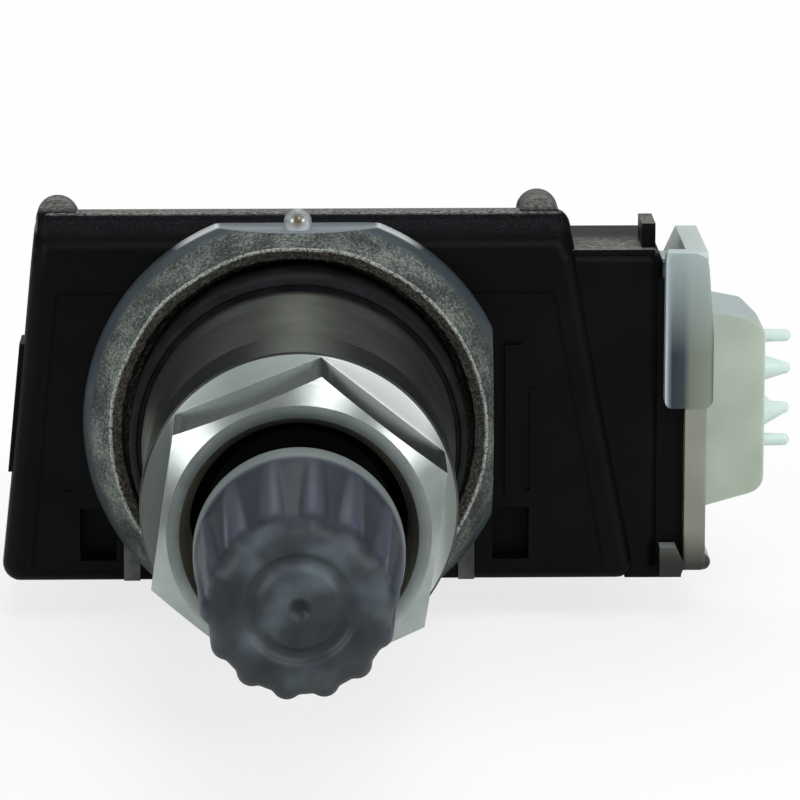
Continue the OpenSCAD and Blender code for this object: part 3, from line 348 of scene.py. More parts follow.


# Valve base: the round foot that carries the stem, die cast in zinc alloy. Its rim is turned
# smooth and looks blue-grey, with a painted highlight high up beside each end of the top flat. The
# cone and the bevel beside the crest are left as cast, with a coarse mottled skin, and the crest
# between them is rubbed bright and a little uneven.
def turned(profile, steps=192):
    """Spins a closed outline of (radius, distance ahead of the crest) round the valve's axis."""
    bm = bmesh.new()
    points = [bm.verts.new((r, -d, 0)) for r, d in profile]
    open_ended = profile[0][0] == 0 and profile[-1][0] == 0
    pairs = list(zip(points, points[1:])) + ([] if open_ended else [(points[-1], points[0])])
    lines = [bm.edges.new(pair) for pair in pairs]
    bmesh.ops.spin(bm, geom=points + lines, cent=(0, 0, 0), axis=(0, 1, 0), angle=2 * math.pi,
                   steps=steps, use_merge=True)
    bmesh.ops.remove_doubles(bm, verts=bm.verts, dist=1e-5)
    bmesh.ops.recalc_face_normals(bm, faces=bm.faces)
    return bm


def softened(bm, offset, sharp=30, chosen=None):
    """Rounds the edges of a form that turn by more than the sharp angle, or only chosen ones."""
    edges = [e for e in (chosen or bm.edges) if len(e.link_faces) == 2
             and e.calc_face_angle() > math.radians(sharp)]
    bmesh.ops.bevel(bm, geom=edges, offset=offset, segments=2, profile=0.5, affect="EDGES",
                    material=-1, clamp_overlap=True)


def stepped(start, end, count):
    """Points from start towards end, for the stretches of a profile that get a cast skin."""
    return [(start[0] + (end[0] - start[0]) * i / count, start[1] + (end[1] - start[1]) * i / count)
            for i in range(count)]


crest_r, crest_half, rim_r, neck_r, cup_r, stem_hole = 10.2, 0.06, 11.8, 6.9, 9.6, 5.45
base_back, neck_back, cup_floor, top_flat, side_flat = -4.1, -7.1, -2.6, 10.9, 10.6
waist, cup_edge, cup_foot = (crest_r + 0.8, -1.1), (cup_r, -0.4), (cup_r, cup_floor + 0.35)
bm = turned([(stem_hole, neck_back), (neck_r, neck_back), (neck_r, base_back),
             (rim_r - 0.3, base_back), (rim_r - 0.09, base_back + 0.09), (rim_r, base_back + 0.3),
             (rim_r, -3.3), (rim_r, -2.9), (rim_r - 0.1, -2.5)]
            + stepped((rim_r - 0.32, -2.09), waist, 7)
            + stepped(waist, (crest_r + crest_half, 0), 9)
            + [(crest_r + crest_half, 0), (crest_r - crest_half, 0)]
            + stepped((crest_r - 2 * crest_half, -0.05), cup_edge, 5)
            + stepped(cup_edge, cup_foot, 8)
            + [cup_foot, (cup_r - 0.35, cup_floor), (stem_hole, cup_floor)], steps=420)
for corner, facing in (((0, 0, top_flat), (0, 0, 1)), ((side_flat, 0, 0), (1, 0, 0))):
    cut = bmesh.ops.bisect_plane(bm, geom=bm.verts[:] + bm.edges[:] + bm.faces[:], dist=1e-5,
                                 plane_co=corner, plane_no=facing, clear_outer=True)
    rim_edges = [g for g in cut["geom_cut"] if isinstance(g, bmesh.types.BMEdge)]
    flat = bmesh.ops.contextual_create(bm, geom=rim_edges)["faces"]
    softened(bm, 0.1, sharp=15, chosen=flat[0].edges)

cast_depth, cast_fade, margin, pull_back = 2.3, 0.6, 0.05, 0.5
lump, lump_rate, grit, grit_rate = 0.035, 3.4, 0.03, 8
sway, sway_rate, sway_seed, sway_depth, cone_sway = 0.1, 0.35, 7, 0.8, 0.6
for v in bm.verts:
    radius = math.hypot(v.co.x, v.co.z)
    if -2 * margin < v.co.y < cast_depth and radius > cup_r - margin \
            and v.co.z < top_flat - margin and v.co.x < side_flat - margin:
        around = Vector((math.atan2(v.co.z, v.co.x) * crest_r, v.co.y, radius))
        rough = noise.noise(around * lump_rate) * lump + noise.noise(around * grit_rate) * grit
        fade = min(1, (cast_depth - v.co.y) / cast_fade)
        wave = noise.noise(Vector((around.x * sway_rate, sway_seed, 0))) * sway
        wave *= max(0, 1 - abs(v.co.y) / sway_depth) * (1 if radius < crest_r + 0.3 else cone_sway)
        out = Vector((v.co.x, 0, v.co.z)).normalized()
        v.co += out * (rough * fade + wave)
        v.co.y += abs(rough) * fade * pull_back

mottle_mm, pit_mm, blotch_mm, tint_mm = 0.15, 0.12, 1.8, 5
zinc, tree, shader, place = begin("die_cast_zinc_turned_at_rim")
zone = zones(tree, place, cast=("Y", 2.1, 1.6), crest=("Y", 0.06, 0.01),
             inner=("R", crest_r + 0.02, crest_r - 0.1), rim=("R", rim_r - 0.12, rim_r - 0.04),
             upper=("Z", 9.6, 10.2), flat=("Z", top_flat - 0.05, top_flat - 0.01))
mottle = add(tree, "TexNoise", {"Vector": place, "Scale": 1000 / mottle_mm, "Detail": 5,
                                "Roughness": 0.65})
pits = add(tree, "TexNoise", {"Vector": place, "Scale": 1000 / pit_mm, "Detail": 3})
blotch = add(tree, "TexNoise", {"Vector": place, "Scale": 1000 / blotch_mm, "Detail": 3})
tint = add(tree, "TexNoise", {"Vector": place, "Scale": 1000 / tint_mm, "Detail": 3})
dirt = add(tree, "Mix", {"Factor": 0.35, "A": mottle, "B": blotch})
turned_blue = add(tree, "ValToRGB", {"Fac": tint}, stops=((0.3, "#3c4449"), (0.7, "#5a6469")))
cast_green = add(tree, "ValToRGB", {"Fac": dirt},
                 stops=((0.4, "#303432"), (0.5, "#515652"), (0.6, "#838a83")))
inner_brown = add(tree, "ValToRGB", {"Fac": mottle},
                  stops=((0.34, "#292825"), (0.5, "#504e48"), (0.66, "#868479")))
broken = add(tree, "MapRange", {"Value": mottle, "From Min": 0.38, "From Max": 0.54})
rubbed = add(tree, "Math", {0: zone.crest, 1: broken}, operation="MULTIPLY")
# Painted highlight: the rim is painted near white high up, beside each end of the top flat.
painted_rim_highlight = add(tree, "Math", {0: zone.upper, 1: zone.rim}, operation="MULTIPLY")
tone = turned_blue
for share, colour in ((zone.cast, cast_green), (zone.inner, inner_brown), (rubbed, "#bdc1b9"),
                      (zone.flat, "#7f8a90"), (painted_rim_highlight, "#e8ecec")):
    tone = add(tree, "Mix", {"Factor": share, "A": tone, "B": colour}, data_type="RGBA")
metal = add(tree, "MapRange", {"Value": zone.cast, "To Min": 0.4, "To Max": 0.3})
matt = add(tree, "MapRange", {"Value": zone.cast, "To Min": 0.32, "To Max": 0.6})
skin = add(tree, "Math", {0: pits, 1: zone.cast}, operation="MULTIPLY")
relief = add(tree, "Bump", {"Height": skin, "Strength": 0.5, "Distance": 0.00005})
plug(tree, shader, {"Base Color": tone, "Metallic": metal, "Roughness": matt, "Normal": relief})

base = shaped("cast_base", bm, zinc, sharp=50)
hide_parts("valve_base")
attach(base, "sensor")


# Anti-turn pin: a small hardened steel pin pressed into the base's top flat. Its ground dome is
# polished and shows a bright ring round a warm dark middle; the dark middle is a painted
# reflection.
pin_r, pin_foot, pin_top, pin_y = 0.77, 9.8, 12, 2.3
dome_z, dome_step = pin_top - pin_r, 15
profile = [(0, pin_foot), (pin_r, pin_foot), (pin_r, dome_z)]
profile += [(pin_r * math.cos(math.radians(a)), dome_z + pin_r * math.sin(math.radians(a)))
            for a in range(dome_step, 90, dome_step)] + [(0, pin_top)]
bm = bmesh.new()
points = [bm.verts.new((r, pin_y, z)) for r, z in profile]
lines = [bm.edges.new(pair) for pair in zip(points, points[1:])]
bmesh.ops.spin(bm, geom=points + lines, cent=(0, pin_y, 0), axis=(0, 0, 1), angle=2 * math.pi,
               steps=48, use_merge=True)

shine_mm, middle_z, dark_edge, dark_core = 0.4, 11.5, 0.6, 0.15
polished, tree, shader, place = begin("ground_bright_steel", Metallic=0.65, Roughness=0.22)
shine = add(tree, "TexNoise", {"Vector": place, "Scale": 1000 / shine_mm, "Detail": 2})
bright = add(tree, "ValToRGB", {"Fac": shine}, stops=((0.3, "#c3cbce"), (0.65, "#eef2f3")))
# The warm dark middle is a painted reflection, laid round a line through the dome's top.
middle = add(tree, "Mapping", {"Vector": place, "Location": (0, 0, -middle_z / 1000),
                               "Scale": (1, 0, 1)})
middle = add(tree, "VectorMath", {0: middle}, operation="LENGTH")
middle = add(tree, "MapRange", {"Value": middle, "From Min": dark_edge / 1000,
                                "From Max": dark_core / 1000})
dome_and_painted_reflection = add(tree, "Mix", {"Factor": middle, "A": bright, "B": "#77715f"}, data_type="RGBA")
plug(tree, shader, {"Base Color": dome_and_painted_reflection})
pin = shaped("anti_turn_dome_pin", bm, polished)
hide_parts("anti_turn_pin")
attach(pin, "sensor")


# Base plate: stamped from rolled steel sheet and riveted under the base's neck. Only its two
# straight legs show below the base, with a pale rolled face and rough sheared edges.
def dress(material, *nodes):
    """Gives CAD nodes whose shape is right their finish."""
    for node in nodes:
        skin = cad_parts[node]
        if not skin.data.materials:
            skin.data.materials.append(material)
        for socket in skin.material_slots:
            socket.material = material


drawn_mm, drawn_out, dull_mm = 0.12, 0.06, 1.5
rolled, tree, shader, place = begin("rolled_zinc_plated_steel", Metallic=0.9)
along = add(tree, "Mapping", {"Vector": place, "Scale": (1, 1, drawn_out)})
drawn = add(tree, "TexNoise", {"Vector": along, "Scale": 1000 / drawn_mm, "Detail": 3})
dulled = add(tree, "TexNoise", {"Vector": place, "Scale": 1000 / dull_mm, "Detail": 3})
sheet = add(tree, "ValToRGB", {"Fac": dulled}, stops=((0.3, "#4d4e4a"), (0.7, "#878983")))
wear = add(tree, "MapRange", {"Value": drawn, "To Min": 0.3, "To Max": 0.55})
relief = add(tree, "Bump", {"Height": drawn, "Strength": 0.2, "Distance": 0.00001})
plug(tree, shader, {"Base Color": sheet, "Roughness": wear, "Normal": relief})
dress(rolled, "base_plate")


# Grommet: the rubber seal that is squeezed in the rim's valve hole, moulded in black EPDM, which
# looks dull with a faint grey bloom. Two shallow rings in its face bite on the rim, and its neck
# centres it in the hole.
grommet_r, grommet_face, rim_neck_r, rim_neck_front = 9.1, 2.6, 7.5, 6.0
grommet_edge, outer_ring_r, inner_ring_r = 0.35, 8.72, 8.2
ring_d, ring_w, ring_slope = 0.14, 0.26, 0.06
rings = []
for r in (outer_ring_r, inner_ring_r):
    rings += [(r, grommet_face), (r - ring_slope, grommet_face - ring_d),
              (r - ring_w + ring_slope, grommet_face - ring_d), (r - ring_w, grommet_face)]
bm = turned([(stem_hole, cup_floor), (grommet_r - 0.3, cup_floor),
             (grommet_r, cup_floor + grommet_edge), (grommet_r, grommet_face - grommet_edge),
             (grommet_r - 0.1, grommet_face - 0.1), (grommet_r - 0.25, grommet_face)] + rings
            + [(rim_neck_r, grommet_face), (rim_neck_r, rim_neck_front - grommet_edge),
               (rim_neck_r - grommet_edge, rim_neck_front), (stem_hole, rim_neck_front)])

bloom_mm, skin_mm = 1.2, 0.1
rubber, tree, shader, place = begin("moulded_black_epdm", Roughness=0.55, IOR=1.52,
                                    Specular_IOR_Level=0.2)
bloom = add(tree, "TexNoise", {"Vector": place, "Scale": 1000 / bloom_mm, "Detail": 4})
skin = add(tree, "TexNoise", {"Vector": place, "Scale": 1000 / skin_mm, "Detail": 2})
dark = add(tree, "ValToRGB", {"Fac": bloom}, stops=((0.35, "#08090a"), (0.7, "#17191c")))
relief = add(tree, "Bump", {"Height": skin, "Strength": 0.25, "Distance": 0.00002})
plug(tree, shader, {"Base Color": dark, "Normal": relief})
grommet = shaped("rubber_grommet", bm, rubber, sharp=40)
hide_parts("grommet")
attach(grommet, "sensor")


# Stem: the hollow valve, turned from aluminium bar and anodised black, which leaves a dark sheen
# over fine lathe marks. Both of its threads are cut as true single-start helices, 1 mm in pitch
# for the nut and 0.79 mm for the cap.
def thread(bm, root, crest, pitch, start, end, steps=48, inwards=False):
    """Adds a closed ridge that winds round the valve's axis from one distance to another."""
    width = pitch * 0.42
    inner = root + (0.1 if inwards else -0.1)
    outline = [(inner, -width), (root, -width), (crest, -pitch * 0.06), (crest, pitch * 0.06),
               (root, width), (inner, width)]
    points = [bm.verts.new((r, -start - width - d, 0)) for r, d in outline]
    face = bm.faces.new(points)
    turns = (end - start - 2 * width) / pitch
    bmesh.ops.spin(bm, geom=[face] + face.edges[:] + points, cent=(0, 0, 0), axis=(0, 1, 0),
                   dvec=(0, -pitch / steps, 0), angle=-2 * math.pi * turns,
                   steps=round(turns * steps), use_merge=False)


head_r, head_back, head_front, plain_front, sunk_root = 7.3, -11.3, -9.5, 6.4, 0.02
stem_r, stem_front, nut_root, nut_pitch = 5.4, 20.2, 4.86, 1
tip_r, tip_front, tip_face_r, cap_root, cap_pitch = 3.85, 35.6, 3.1, 3.42, 0.794
air_hole, core_seat, core_hole = 1.2, 2.1, 2.65
air_hole_front, core_seat_back, core_seat_front, core_hole_back = 16.7, 17.5, 29.5, 30.35
bm = turned([(air_hole, head_back), (head_r - 0.3, head_back), (head_r, head_back + 0.3),
             (head_r, head_front), (stem_r, head_front), (stem_r, plain_front),
             (nut_root, plain_front + 0.5), (nut_root, stem_front - 0.1),
             (nut_root - 0.16, stem_front), (cap_root, stem_front), (cap_root, tip_front - 0.35),
             (tip_face_r + 0.15, tip_front - 0.1), (tip_face_r, tip_front), (core_hole, tip_front),
             (core_hole, core_hole_back), (core_seat, core_seat_front),
             (core_seat, core_seat_back), (air_hole, air_hole_front)], steps=96)
thread(bm, nut_root - sunk_root, stem_r, nut_pitch, plain_front + 0.4, stem_front - 0.05)
thread(bm, cap_root - sunk_root, tip_r, cap_pitch, stem_front + 1.4, tip_front - 0.3)

lathe_mm, round_out, tint_mm = 0.08, 0.1, 3
anodised, tree, shader, place = begin("black_anodised_aluminium", Metallic=0.75)
lathe = add(tree, "Mapping", {"Vector": place, "Scale": (round_out, 1, round_out)})
marks = add(tree, "TexNoise", {"Vector": lathe, "Scale": 1000 / lathe_mm, "Detail": 2})
tint = add(tree, "TexNoise", {"Vector": place, "Scale": 1000 / tint_mm, "Detail": 2})
dark = add(tree, "ValToRGB", {"Fac": tint}, stops=((0.35, "#121315"), (0.7, "#212327")))
gloss = add(tree, "MapRange", {"Value": marks, "To Min": 0.28, "To Max": 0.5})
relief = add(tree, "Bump", {"Height": marks, "Strength": 0.2, "Distance": 0.00001})
plug(tree, shader, {"Base Color": dark, "Roughness": gloss, "Normal": relief})
stem = shaped("threaded_stem", bm, anodised)
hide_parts("valve_stem")
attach(stem, "sensor")


# Collar: the spacer that the nut presses on the rim's outer face, turned from aluminium bar and
# hard anodised to a warm grey. A straight band at the rim runs into a slight taper with a
# turned step, and fine lathe marks run round it.
collar_back, collar_front, collar_bore, recess_r, recess_front = 2.63, 13.03, 5.5, 7.7, 6.43
collar_r, collar_face_r = 8.4, 7.9
bm = turned([(recess_r, collar_back), (collar_r - 0.15, collar_back),
             (collar_r - 0.04, collar_back + 0.05), (collar_r, collar_back + 0.2),
             (collar_r, collar_back + 1.3), (collar_r - 0.07, collar_back + 1.5),
             (collar_r - 0.16, collar_back + 2.2), (collar_r - 0.18, collar_back + 2.25),
             (collar_r - 0.24, collar_back + 2.45), (collar_face_r + 0.16, collar_front - 1),
             (collar_face_r + 0.1, collar_front - 0.9), (collar_face_r + 0.07, collar_front - 0.12),
             (collar_face_r, collar_front), (collar_bore, collar_front),
             (collar_bore, recess_front), (recess_r, recess_front)], steps=256)
softened(bm, 0.04, sharp=50)


def lathe_marks(tree, shader, place, mark_mm, smooth, rough, depth):
    """Marks that a lathe leaves round the valve's axis: fine lines, and a gloss drawn out across
    them."""
    axes = add(tree, "SeparateXYZ", {0: place}).outputs
    sideways = add(tree, "CombineXYZ", {"X": axes["X"], "Z": axes["Z"]})
    radius = add(tree, "VectorMath", {0: sideways}, operation="LENGTH")
    cut_place = add(tree, "CombineXYZ", {"X": radius, "Y": axes["Y"]})
    marks = add(tree, "TexNoise", {"Vector": cut_place, "Scale": 1000 / mark_mm, "Detail": 3})
    gloss = add(tree, "MapRange", {"Value": marks, "To Min": smooth, "To Max": rough})
    relief = add(tree, "Bump", {"Height": marks, "Strength": 0.25, "Distance": depth})
    around = add(tree, "VectorMath", {0: (0, 1, 0), 1: sideways}, operation="CROSS_PRODUCT")
    around = add(tree, "VectorTransform", {0: around}, vector_type="VECTOR",
                 convert_from="OBJECT", convert_to="WORLD")
    around = add(tree, "VectorMath", {0: around}, operation="NORMALIZE")
    plug(tree, shader, {"Tangent": around, "Roughness": gloss, "Normal": relief})


smear_mm = 2.2
hard, tree, shader, place = begin("hard_anodised_turned_aluminium", Metallic=1, Anisotropic=0.6,
                                  Anisotropic_Rotation=0.25)
lathe_marks(tree, shader, place, mark_mm=0.1, smooth=0.26, rough=0.44, depth=0.000012)
smear = add(tree, "TexNoise", {"Vector": place, "Scale": 1000 / smear_mm, "Detail": 3})
warm = add(tree, "ValToRGB", {"Fac": smear}, stops=((0.3, "#6e7069"), (0.7, "#7f8178")))
plug(tree, shader, {"Base Color": warm})
collar = shaped("turned_collar", bm, hard)
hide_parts("collar")
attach(collar, "collar")


# Hex nut: turned and milled from bright aluminium bar, with its washer in one piece. The lathe
# has chamfered the hex to a flat ring, so each flat ends in an arc, and the bore is threaded. Its
# faces carry fine marks. Its flats are painted pale at the left and dark at the right, its washer
# face has a painted highlight at the right and painted shade at the far left, and its washer's side
# is painted darker as shade.
washer_back, washer_front, nut_front = 13.06, 17.56, 23.26
flats, face_r, washer_r, nut_bore, sink_r, sink = 13.76, 6.58, 8.1, 5.47, 5.95, 1.1
chamfer, crown, slack, nut_angle = math.radians(30), 1.5, 0.01, math.radians(-21.7)
corner_r = flats / math.sqrt(3)
root_r = nut_bore + 0.4
bm = turned([(root_r, washer_back + 0.4), (root_r + 0.3, washer_back),
             (washer_r - 0.2, washer_back), (washer_r, washer_back + 0.2),
             (washer_r, washer_front - 0.15),
             (washer_r - 0.15, washer_front), (corner_r - 0.15, washer_front),
             (corner_r - 0.14, washer_front + 0.04), (corner_r - 0.13, nut_front - 1),
             (face_r, nut_front), (sink_r, nut_front), (nut_bore, nut_front - sink),
             (root_r, nut_front - sink - 0.4), (root_r, washer_back + 2.5)], steps=192)
for v in bm.verts:
    ahead, radius = -v.co.y, math.hypot(v.co.x, v.co.z)
    if ahead > washer_front - slack and face_r + 0.2 < radius < corner_r:
        turn = math.atan2(v.co.z, v.co.x) % (math.pi / 3) - math.pi / 6
        reach = flats / 2 / math.cos(turn)
        if ahead > nut_front - crown:
            ahead = nut_front - (reach - face_r) * math.tan(chamfer)
        elif ahead < washer_front + slack:
            reach = min(reach + 0.02, washer_r - 0.16)
        v.co = Vector((v.co.x, 0, v.co.z)).normalized() * reach - Vector((0, ahead, 0))
softened(bm, 0.06, sharp=25, chosen=[
    e for e in bm.edges if min(-e.verts[0].co.y, -e.verts[1].co.y) > washer_front - slack])
thread(bm, root_r - sunk_root, nut_bore, nut_pitch, washer_back + 0.5, nut_front - sink - 0.4,
       inwards=True)
bmesh.ops.rotate(bm, cent=(0, 0, 0), matrix=Matrix.Rotation(nut_angle, 3, "Y"), verts=bm.verts)

handled_mm, nick_mm = 1.6, 0.5
bright_bar, tree, shader, place = begin("bright_turned_aluminium", Anisotropic=0.7,
                                        Anisotropic_Rotation=0.25)
lathe_marks(tree, shader, place, mark_mm=0.07, smooth=0.2, rough=0.4, depth=0.00001)
zone = zones(tree, place, across=("X", -8, 8), sunk=("R", sink_r + 0.005, sink_r - 0.02),
             washer=("Y", -washer_front - 0.14, -washer_front - 0.04),
             washer_side=("R", washer_r - 0.14, washer_r - 0.1))
facing = add(tree, "SeparateXYZ", {0: add(tree, "NewGeometry").outputs["Normal"]}).outputs
handled = add(tree, "TexNoise", {"Vector": place, "Scale": 1000 / handled_mm, "Detail": 5})
nick = add(tree, "TexNoise", {"Vector": place, "Scale": 1000 / nick_mm, "Detail": 4,
                              "Roughness": 0.7})
nick = add(tree, "MapRange", {"Value": nick, "From Min": 0.7, "From Max": 0.78})
upright = add(tree, "Math", {0: facing["Y"]}, operation="ABSOLUTE")
upright = add(tree, "MapRange", {"Value": upright, "From Min": 0.35, "From Max": 0.2})
bar = add(tree, "ValToRGB", {"Fac": handled}, stops=((0.3, "#b4bcb8"), (0.7, "#ccd3d0")))
# Painted light and shade: the hex flats are painted pale at the left and dark at the right.
flats_painted_light_and_shade = add(tree, "ValToRGB", {"Fac": zone.across},
                 stops=((0.55, "#bcc2be"), (0.57, "#85877f")))
# Painted highlight and shade: the washer face is painted near white at the right, dark at the far
# left.
washer_painted_light_and_shade = add(tree, "ValToRGB", {"Fac": zone.across},
                  stops=((0, "#5f6562"), (0.09, "#6a706d"), (0.13, "#b9c1bd"), (0.3, "#98a29e"),
                         (0.5, "#adb6b2"), (0.56, "#b4bcb9"), (0.6, "#f2f6f4"), (0.9, "#f2f6f4"),
                         (0.97, "#8f9692"), (1, "#7f8682")))
# The washer's side is painted darker, as painted shade.
tone = bar
for share, colour in ((nick, "#77796d"), (upright, flats_painted_light_and_shade), (zone.washer, washer_painted_light_and_shade),
                      (zone.washer_side, "#5f625b"), (zone.sunk, "#55554a")):
    tone = add(tree, "Mix", {"Factor": share, "A": tone, "B": colour}, data_type="RGBA")
dull = add(tree, "Math", {0: zone.sunk, 1: zone.washer}, operation="MAXIMUM")
dull = add(tree, "Math", {0: dull, 1: zone.washer_side}, operation="SUBTRACT")
metal = add(tree, "MapRange", {"Value": dull, "To Min": 1, "To Max": 0.2})
plug(tree, shader, {"Base Color": tone, "Metallic": metal})
nut = shaped("chamfered_hex_nut", bm, bright_bar, sharp=20)
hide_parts("hex_nut")
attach(nut, "nut")


# Cap: the dust cap on the valve's tip, injection moulded in dark blue-grey nylon, which looks
# clouded and half matt. Fourteen round grip ribs run from a plain band to a domed end with a
# moulding ring and a gate dimple. Its rib ridges are painted lighter as highlights, and its
# grooves, the faces that look down and the gate dimple are painted darker as shade.
cap_base, cap_front, cap_bore, cap_top, band_r = 26.16, 37.86, 3.9, 1.3, 5.2
ribs, rib_r, rib_steps, cap_angle = 14, 0.75, 20, math.radians(-4)
rib_base, rib_start, rib_top = cap_base + 1.6, cap_base + 1.9, cap_front - 1.1
groove_start, groove_r, tip_groove_r, foot_r, dome_r = cap_base + 2.3, 4.94, 4.36, 4.95, 3.5
rib_middle, rib_lean = 4.35, 0.4
bm = turned([(0, cap_front - cap_top), (cap_bore, cap_front - cap_top), (cap_bore, cap_base + 0.2),
             (cap_bore + 0.2, cap_base), (foot_r, cap_base), (band_r - 0.08, cap_base + 0.08),
             (band_r, cap_base + 0.3), (band_r - 0.03, cap_base + 1.7), (band_r - 0.08, rib_start),
             (5.01, cap_base + 2.1)]
            + stepped((groove_r, groove_start), (tip_groove_r, rib_top), 12)
            + [(4.4, rib_top), (4.32, rib_top + 0.35), (4.1, rib_top + 0.68),
               (3.75, rib_top + 0.93), (3.3, cap_front), (2.9, cap_front), (2.72, cap_front - 0.04),
               (2.58, cap_front - 0.16), (2.42, cap_front - 0.28), (2.2, cap_front - 0.3),
               (2, cap_front - 0.2), (1.86, cap_front - 0.08), (1.7, cap_front - 0.03),
               (1, cap_front - 0.02), (0.62, cap_front), (0.48, cap_front - 0.06),
               (0.36, cap_front - 0.18), (0.2, cap_front - 0.26), (0, cap_front - 0.28)],
            steps=ribs * rib_steps)
for v in bm.verts:
    ahead, radius = -v.co.y, math.hypot(v.co.x, v.co.z)
    if dome_r < radius < foot_r and ahead > rib_start:
        along = min(1, (ahead - rib_base) / (rib_top - rib_base))
        middle = rib_middle - rib_lean * along
        past = max(0, ahead - rib_top)
        size = math.sqrt(max(0, rib_r ** 2 - past ** 2))
        turn = (math.atan2(v.co.z, v.co.x) + math.pi / ribs) % (2 * math.pi / ribs) - math.pi / ribs
        offset = middle * math.sin(turn)
        if abs(offset) < size:
            reach = max(radius, middle * math.cos(turn) + math.sqrt(size ** 2 - offset ** 2))
            v.co = Vector((v.co.x, 0, v.co.z)).normalized() * reach + Vector((0, v.co.y, 0))
grip = [v for v in bm.verts if -v.co.y > rib_start and math.hypot(v.co.x, v.co.z) > dome_r]
for _ in range(2):
    bmesh.ops.smooth_vert(bm, verts=grip, factor=0.5, use_axis_x=True, use_axis_z=True)
bmesh.ops.rotate(bm, cent=(0, 0, 0), matrix=Matrix.Rotation(cap_angle, 3, "Y"), verts=bm.verts)

haze_mm, skin_mm, valley_mm, ridge_mm = 2.4, 0.25, 0.01, 0.24
nylon, tree, shader, place = begin("moulded_blue_grey_nylon", IOR=1.53)
zone = zones(tree, place, ribs=("R", 4.1, 4.4), open_end=("Y", -28.2, -27.9),
             gate=("R", 0.62, 0.3, 0, 0.8),
             groove=("Y", -groove_start, -rib_top, groove_r / 1000, tip_groove_r / 1000))
facing = add(tree, "SeparateXYZ", {0: add(tree, "NewGeometry").outputs["Normal"]}).outputs
haze = add(tree, "TexNoise", {"Vector": place, "Scale": 1000 / haze_mm, "Detail": 2})
skin = add(tree, "TexNoise", {"Vector": place, "Scale": 1000 / skin_mm, "Detail": 3})
blue = add(tree, "ValToRGB", {"Fac": haze},
           stops=((0.34, "#23272b"), (0.5, "#30353b"), (0.66, "#475256")))
# Painted light and shade: rib ridges are painted lighter and the grooves between them darker, by
# how far the surface stands out.
proud = add(tree, "Math", {0: zone.R, 1: zone.groove}, operation="SUBTRACT")
proud = add(tree, "MapRange", {"Value": proud, "From Min": valley_mm / 1000,
                               "From Max": ridge_mm / 1000})
rib_painted_light_and_shade = add(tree, "ValToRGB", {"Fac": proud}, stops=((0, "#2a2d35"), (1, "#3f4350")))
# Painted shade: faces that look down are painted darker.
painted_underside_shade = add(tree, "MapRange", {"Value": facing["Z"], "From Min": 0, "From Max": -0.7,
                               "To Max": 0.7})
# The gate dimple is painted near black, as painted shade in the dimple.
tone = blue
for share, colour in ((zone.ribs, rib_painted_light_and_shade), (zone.open_end, "#6c7573"), (painted_underside_shade, "#17191c"),
                      (zone.gate, "#0f1113")):
    tone = add(tree, "Mix", {"Factor": share, "A": tone, "B": colour}, data_type="RGBA")
gloss = add(tree, "MapRange", {"Value": haze, "To Min": 0.36, "To Max": 0.5})
relief = add(tree, "Bump", {"Height": skin, "Strength": 0.15, "Distance": 0.00003})
plug(tree, shader, {"Base Color": tone, "Roughness": gloss, "Normal": relief})
cap = shaped("ribbed_cap", bm, nylon, sharp=45)
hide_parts("valve_cap")
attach(cap, "cap")


# Seals: the rings that keep the air in, at the stem's head, round the cover's plug, on the core
# and in the cap, cut or moulded from black nitrile rubber, which looks soft and matt.
mould_mm = 0.3
nitrile, tree, shader, place = begin("moulded_nitrile_rubber", Roughness=0.55, IOR=1.52)
mould = add(tree, "TexNoise", {"Vector": place, "Scale": 1000 / mould_mm, "Detail": 3})
dark = add(tree, "ValToRGB", {"Fac": mould}, stops=((0.3, "#0b0b0b"), (0.7, "#1b1b1b")))
relief = add(tree, "Bump", {"Height": mould, "Strength": 0.2, "Distance": 0.00002})
plug(tree, shader, {"Base Color": dark, "Normal": relief})
dress(nitrile, "stem_ring", "cover_seal", "core_seal", "core_gasket", "cap_seal")


# Valve core and aerial: the core's body and pin are turned from brass bar, and the aerial is a
# folded brass strip, so they share one warm metal with fine marks along the valve.
lathe_mm, round_out, tarnish_mm = 0.06, 0.15, 1.4
brass, tree, shader, place = begin("turned_brass", Metallic=1)
lathe = add(tree, "Mapping", {"Vector": place, "Scale": (round_out, 1, round_out)})
marks = add(tree, "TexNoise", {"Vector": lathe, "Scale": 1000 / lathe_mm, "Detail": 2})
tarnish = add(tree, "TexNoise", {"Vector": place, "Scale": 1000 / tarnish_mm, "Detail": 4})
gold = add(tree, "ValToRGB", {"Fac": tarnish}, stops=((0.3, "#9c7c43"), (0.7, "#d3b56d")))
gloss = add(tree, "MapRange", {"Value": marks, "To Min": 0.18, "To Max": 0.4})
plug(tree, shader, {"Base Color": gold, "Roughness": gloss})
dress(brass, "core_body", "core_pin", "radio_aerial")


# Cell, tabs and crystal: pressed from nickel-plated steel sheet, with a slightly clouded satin
# gloss. The tabs are welded to the cell, and the crystal's can is soldered to the board.
cloud_mm = 2
nickel, tree, shader, place = begin("nickel_plated_steel", Metallic=1)
cloud = add(tree, "TexNoise", {"Vector": place, "Scale": 1000 / cloud_mm, "Detail": 4})
satin = add(tree, "ValToRGB", {"Fac": cloud}, stops=((0.3, "#a5a39c"), (0.7, "#d2d1cc")))
gloss = add(tree, "MapRange", {"Value": cloud, "To Min": 0.2, "To Max": 0.38})
plug(tree, shader, {"Base Color": satin, "Roughness": gloss})
dress(nickel, "lithium_cell", "cell_tab_top", "cell_tab_bottom", "crystal")
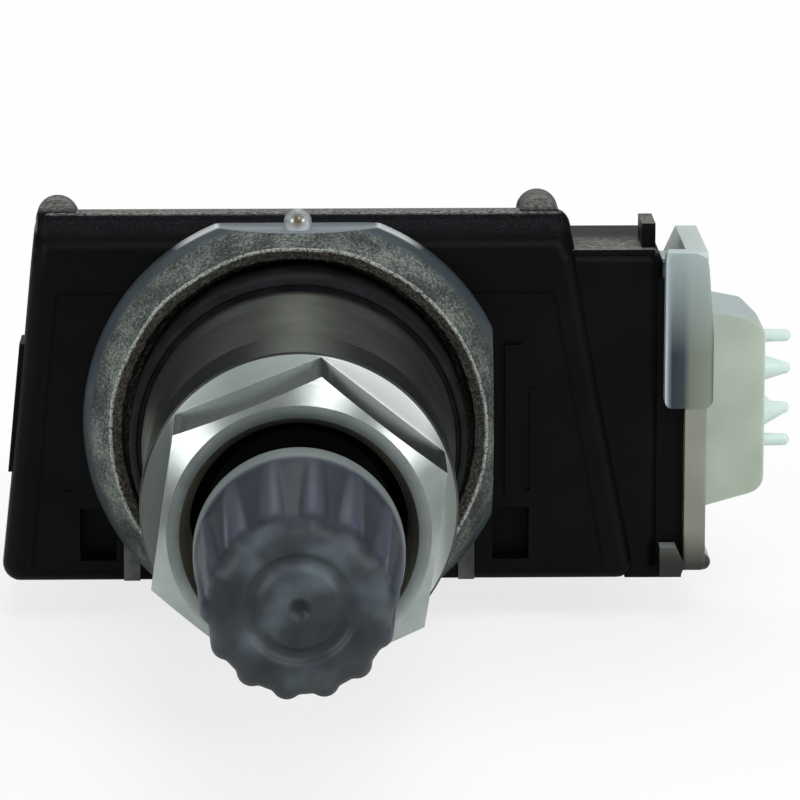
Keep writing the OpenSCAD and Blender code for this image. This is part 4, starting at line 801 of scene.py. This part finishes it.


# Core spring: wound from nickel-plated steel wire, with the same satin gloss. It sits round the
# core's pin, as a mesh of its own.
spring = shaped("core_coil_spring", refined("core_spring", 0), nickel, sharp=70)
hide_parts("core_spring")
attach(spring, "sensor")
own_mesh(spring)


# Circuit board: woven glass cloth laminated in epoxy, cut to the housing's inside and laid on its
# posts. The weave shows faintly through the green solder resist.
weave_mm, wave_turn = 0.5, 6.28
laminate, tree, shader, place = begin("glass_epoxy_laminate", Roughness=0.3, IOR=1.5)
warp, weft = (add(tree, "TexWave", {"Vector": place, "Scale": 1000 / weave_mm / wave_turn},
                  bands_direction=axis).outputs["Fac"] for axis in "XY")
cloth = add(tree, "Math", {0: warp, 1: weft}, operation="MULTIPLY")
green = add(tree, "ValToRGB", {"Fac": cloth}, stops=((0, "#124a2b"), (1, "#1c6138")))
plug(tree, shader, {"Base Color": green})
dress(laminate, "circuit_board")


# Chips, coil and capacitors: moulded in black filled epoxy, whose filler leaves a fine matt
# grain, and soldered to the board.
filler_mm = 0.08
epoxy, tree, shader, place = begin("moulded_filled_epoxy", Roughness=0.55, IOR=1.55)
filler = add(tree, "TexNoise", {"Vector": place, "Scale": 1000 / filler_mm, "Detail": 3})
dark = add(tree, "ValToRGB", {"Fac": filler}, stops=((0.35, "#161616"), (0.7, "#2b2a28")))
relief = add(tree, "Bump", {"Height": filler, "Strength": 0.2, "Distance": 0.00001})
plug(tree, shader, {"Base Color": dark, "Normal": relief})
dress(epoxy, "pressure_chip", "wake_coil", "capacitors")


# Air filter: a disc of white stretched fluoropolymer membrane, held behind the cover's air hole.
# It lets air through and keeps water out, and it looks chalky, with a faint fibrous tone.
fibre_mm = 0.15
membrane, tree, shader, place = begin("stretched_fluoropolymer_membrane", Roughness=0.8, IOR=1.38)
fibre = add(tree, "TexNoise", {"Vector": place, "Scale": 1000 / fibre_mm, "Detail": 4})
white = add(tree, "ValToRGB", {"Fac": fibre}, stops=((0.3, "#cfcfca"), (0.7, "#ecece8")))
plug(tree, shader, {"Base Color": white})
dress(membrane, "air_filter")
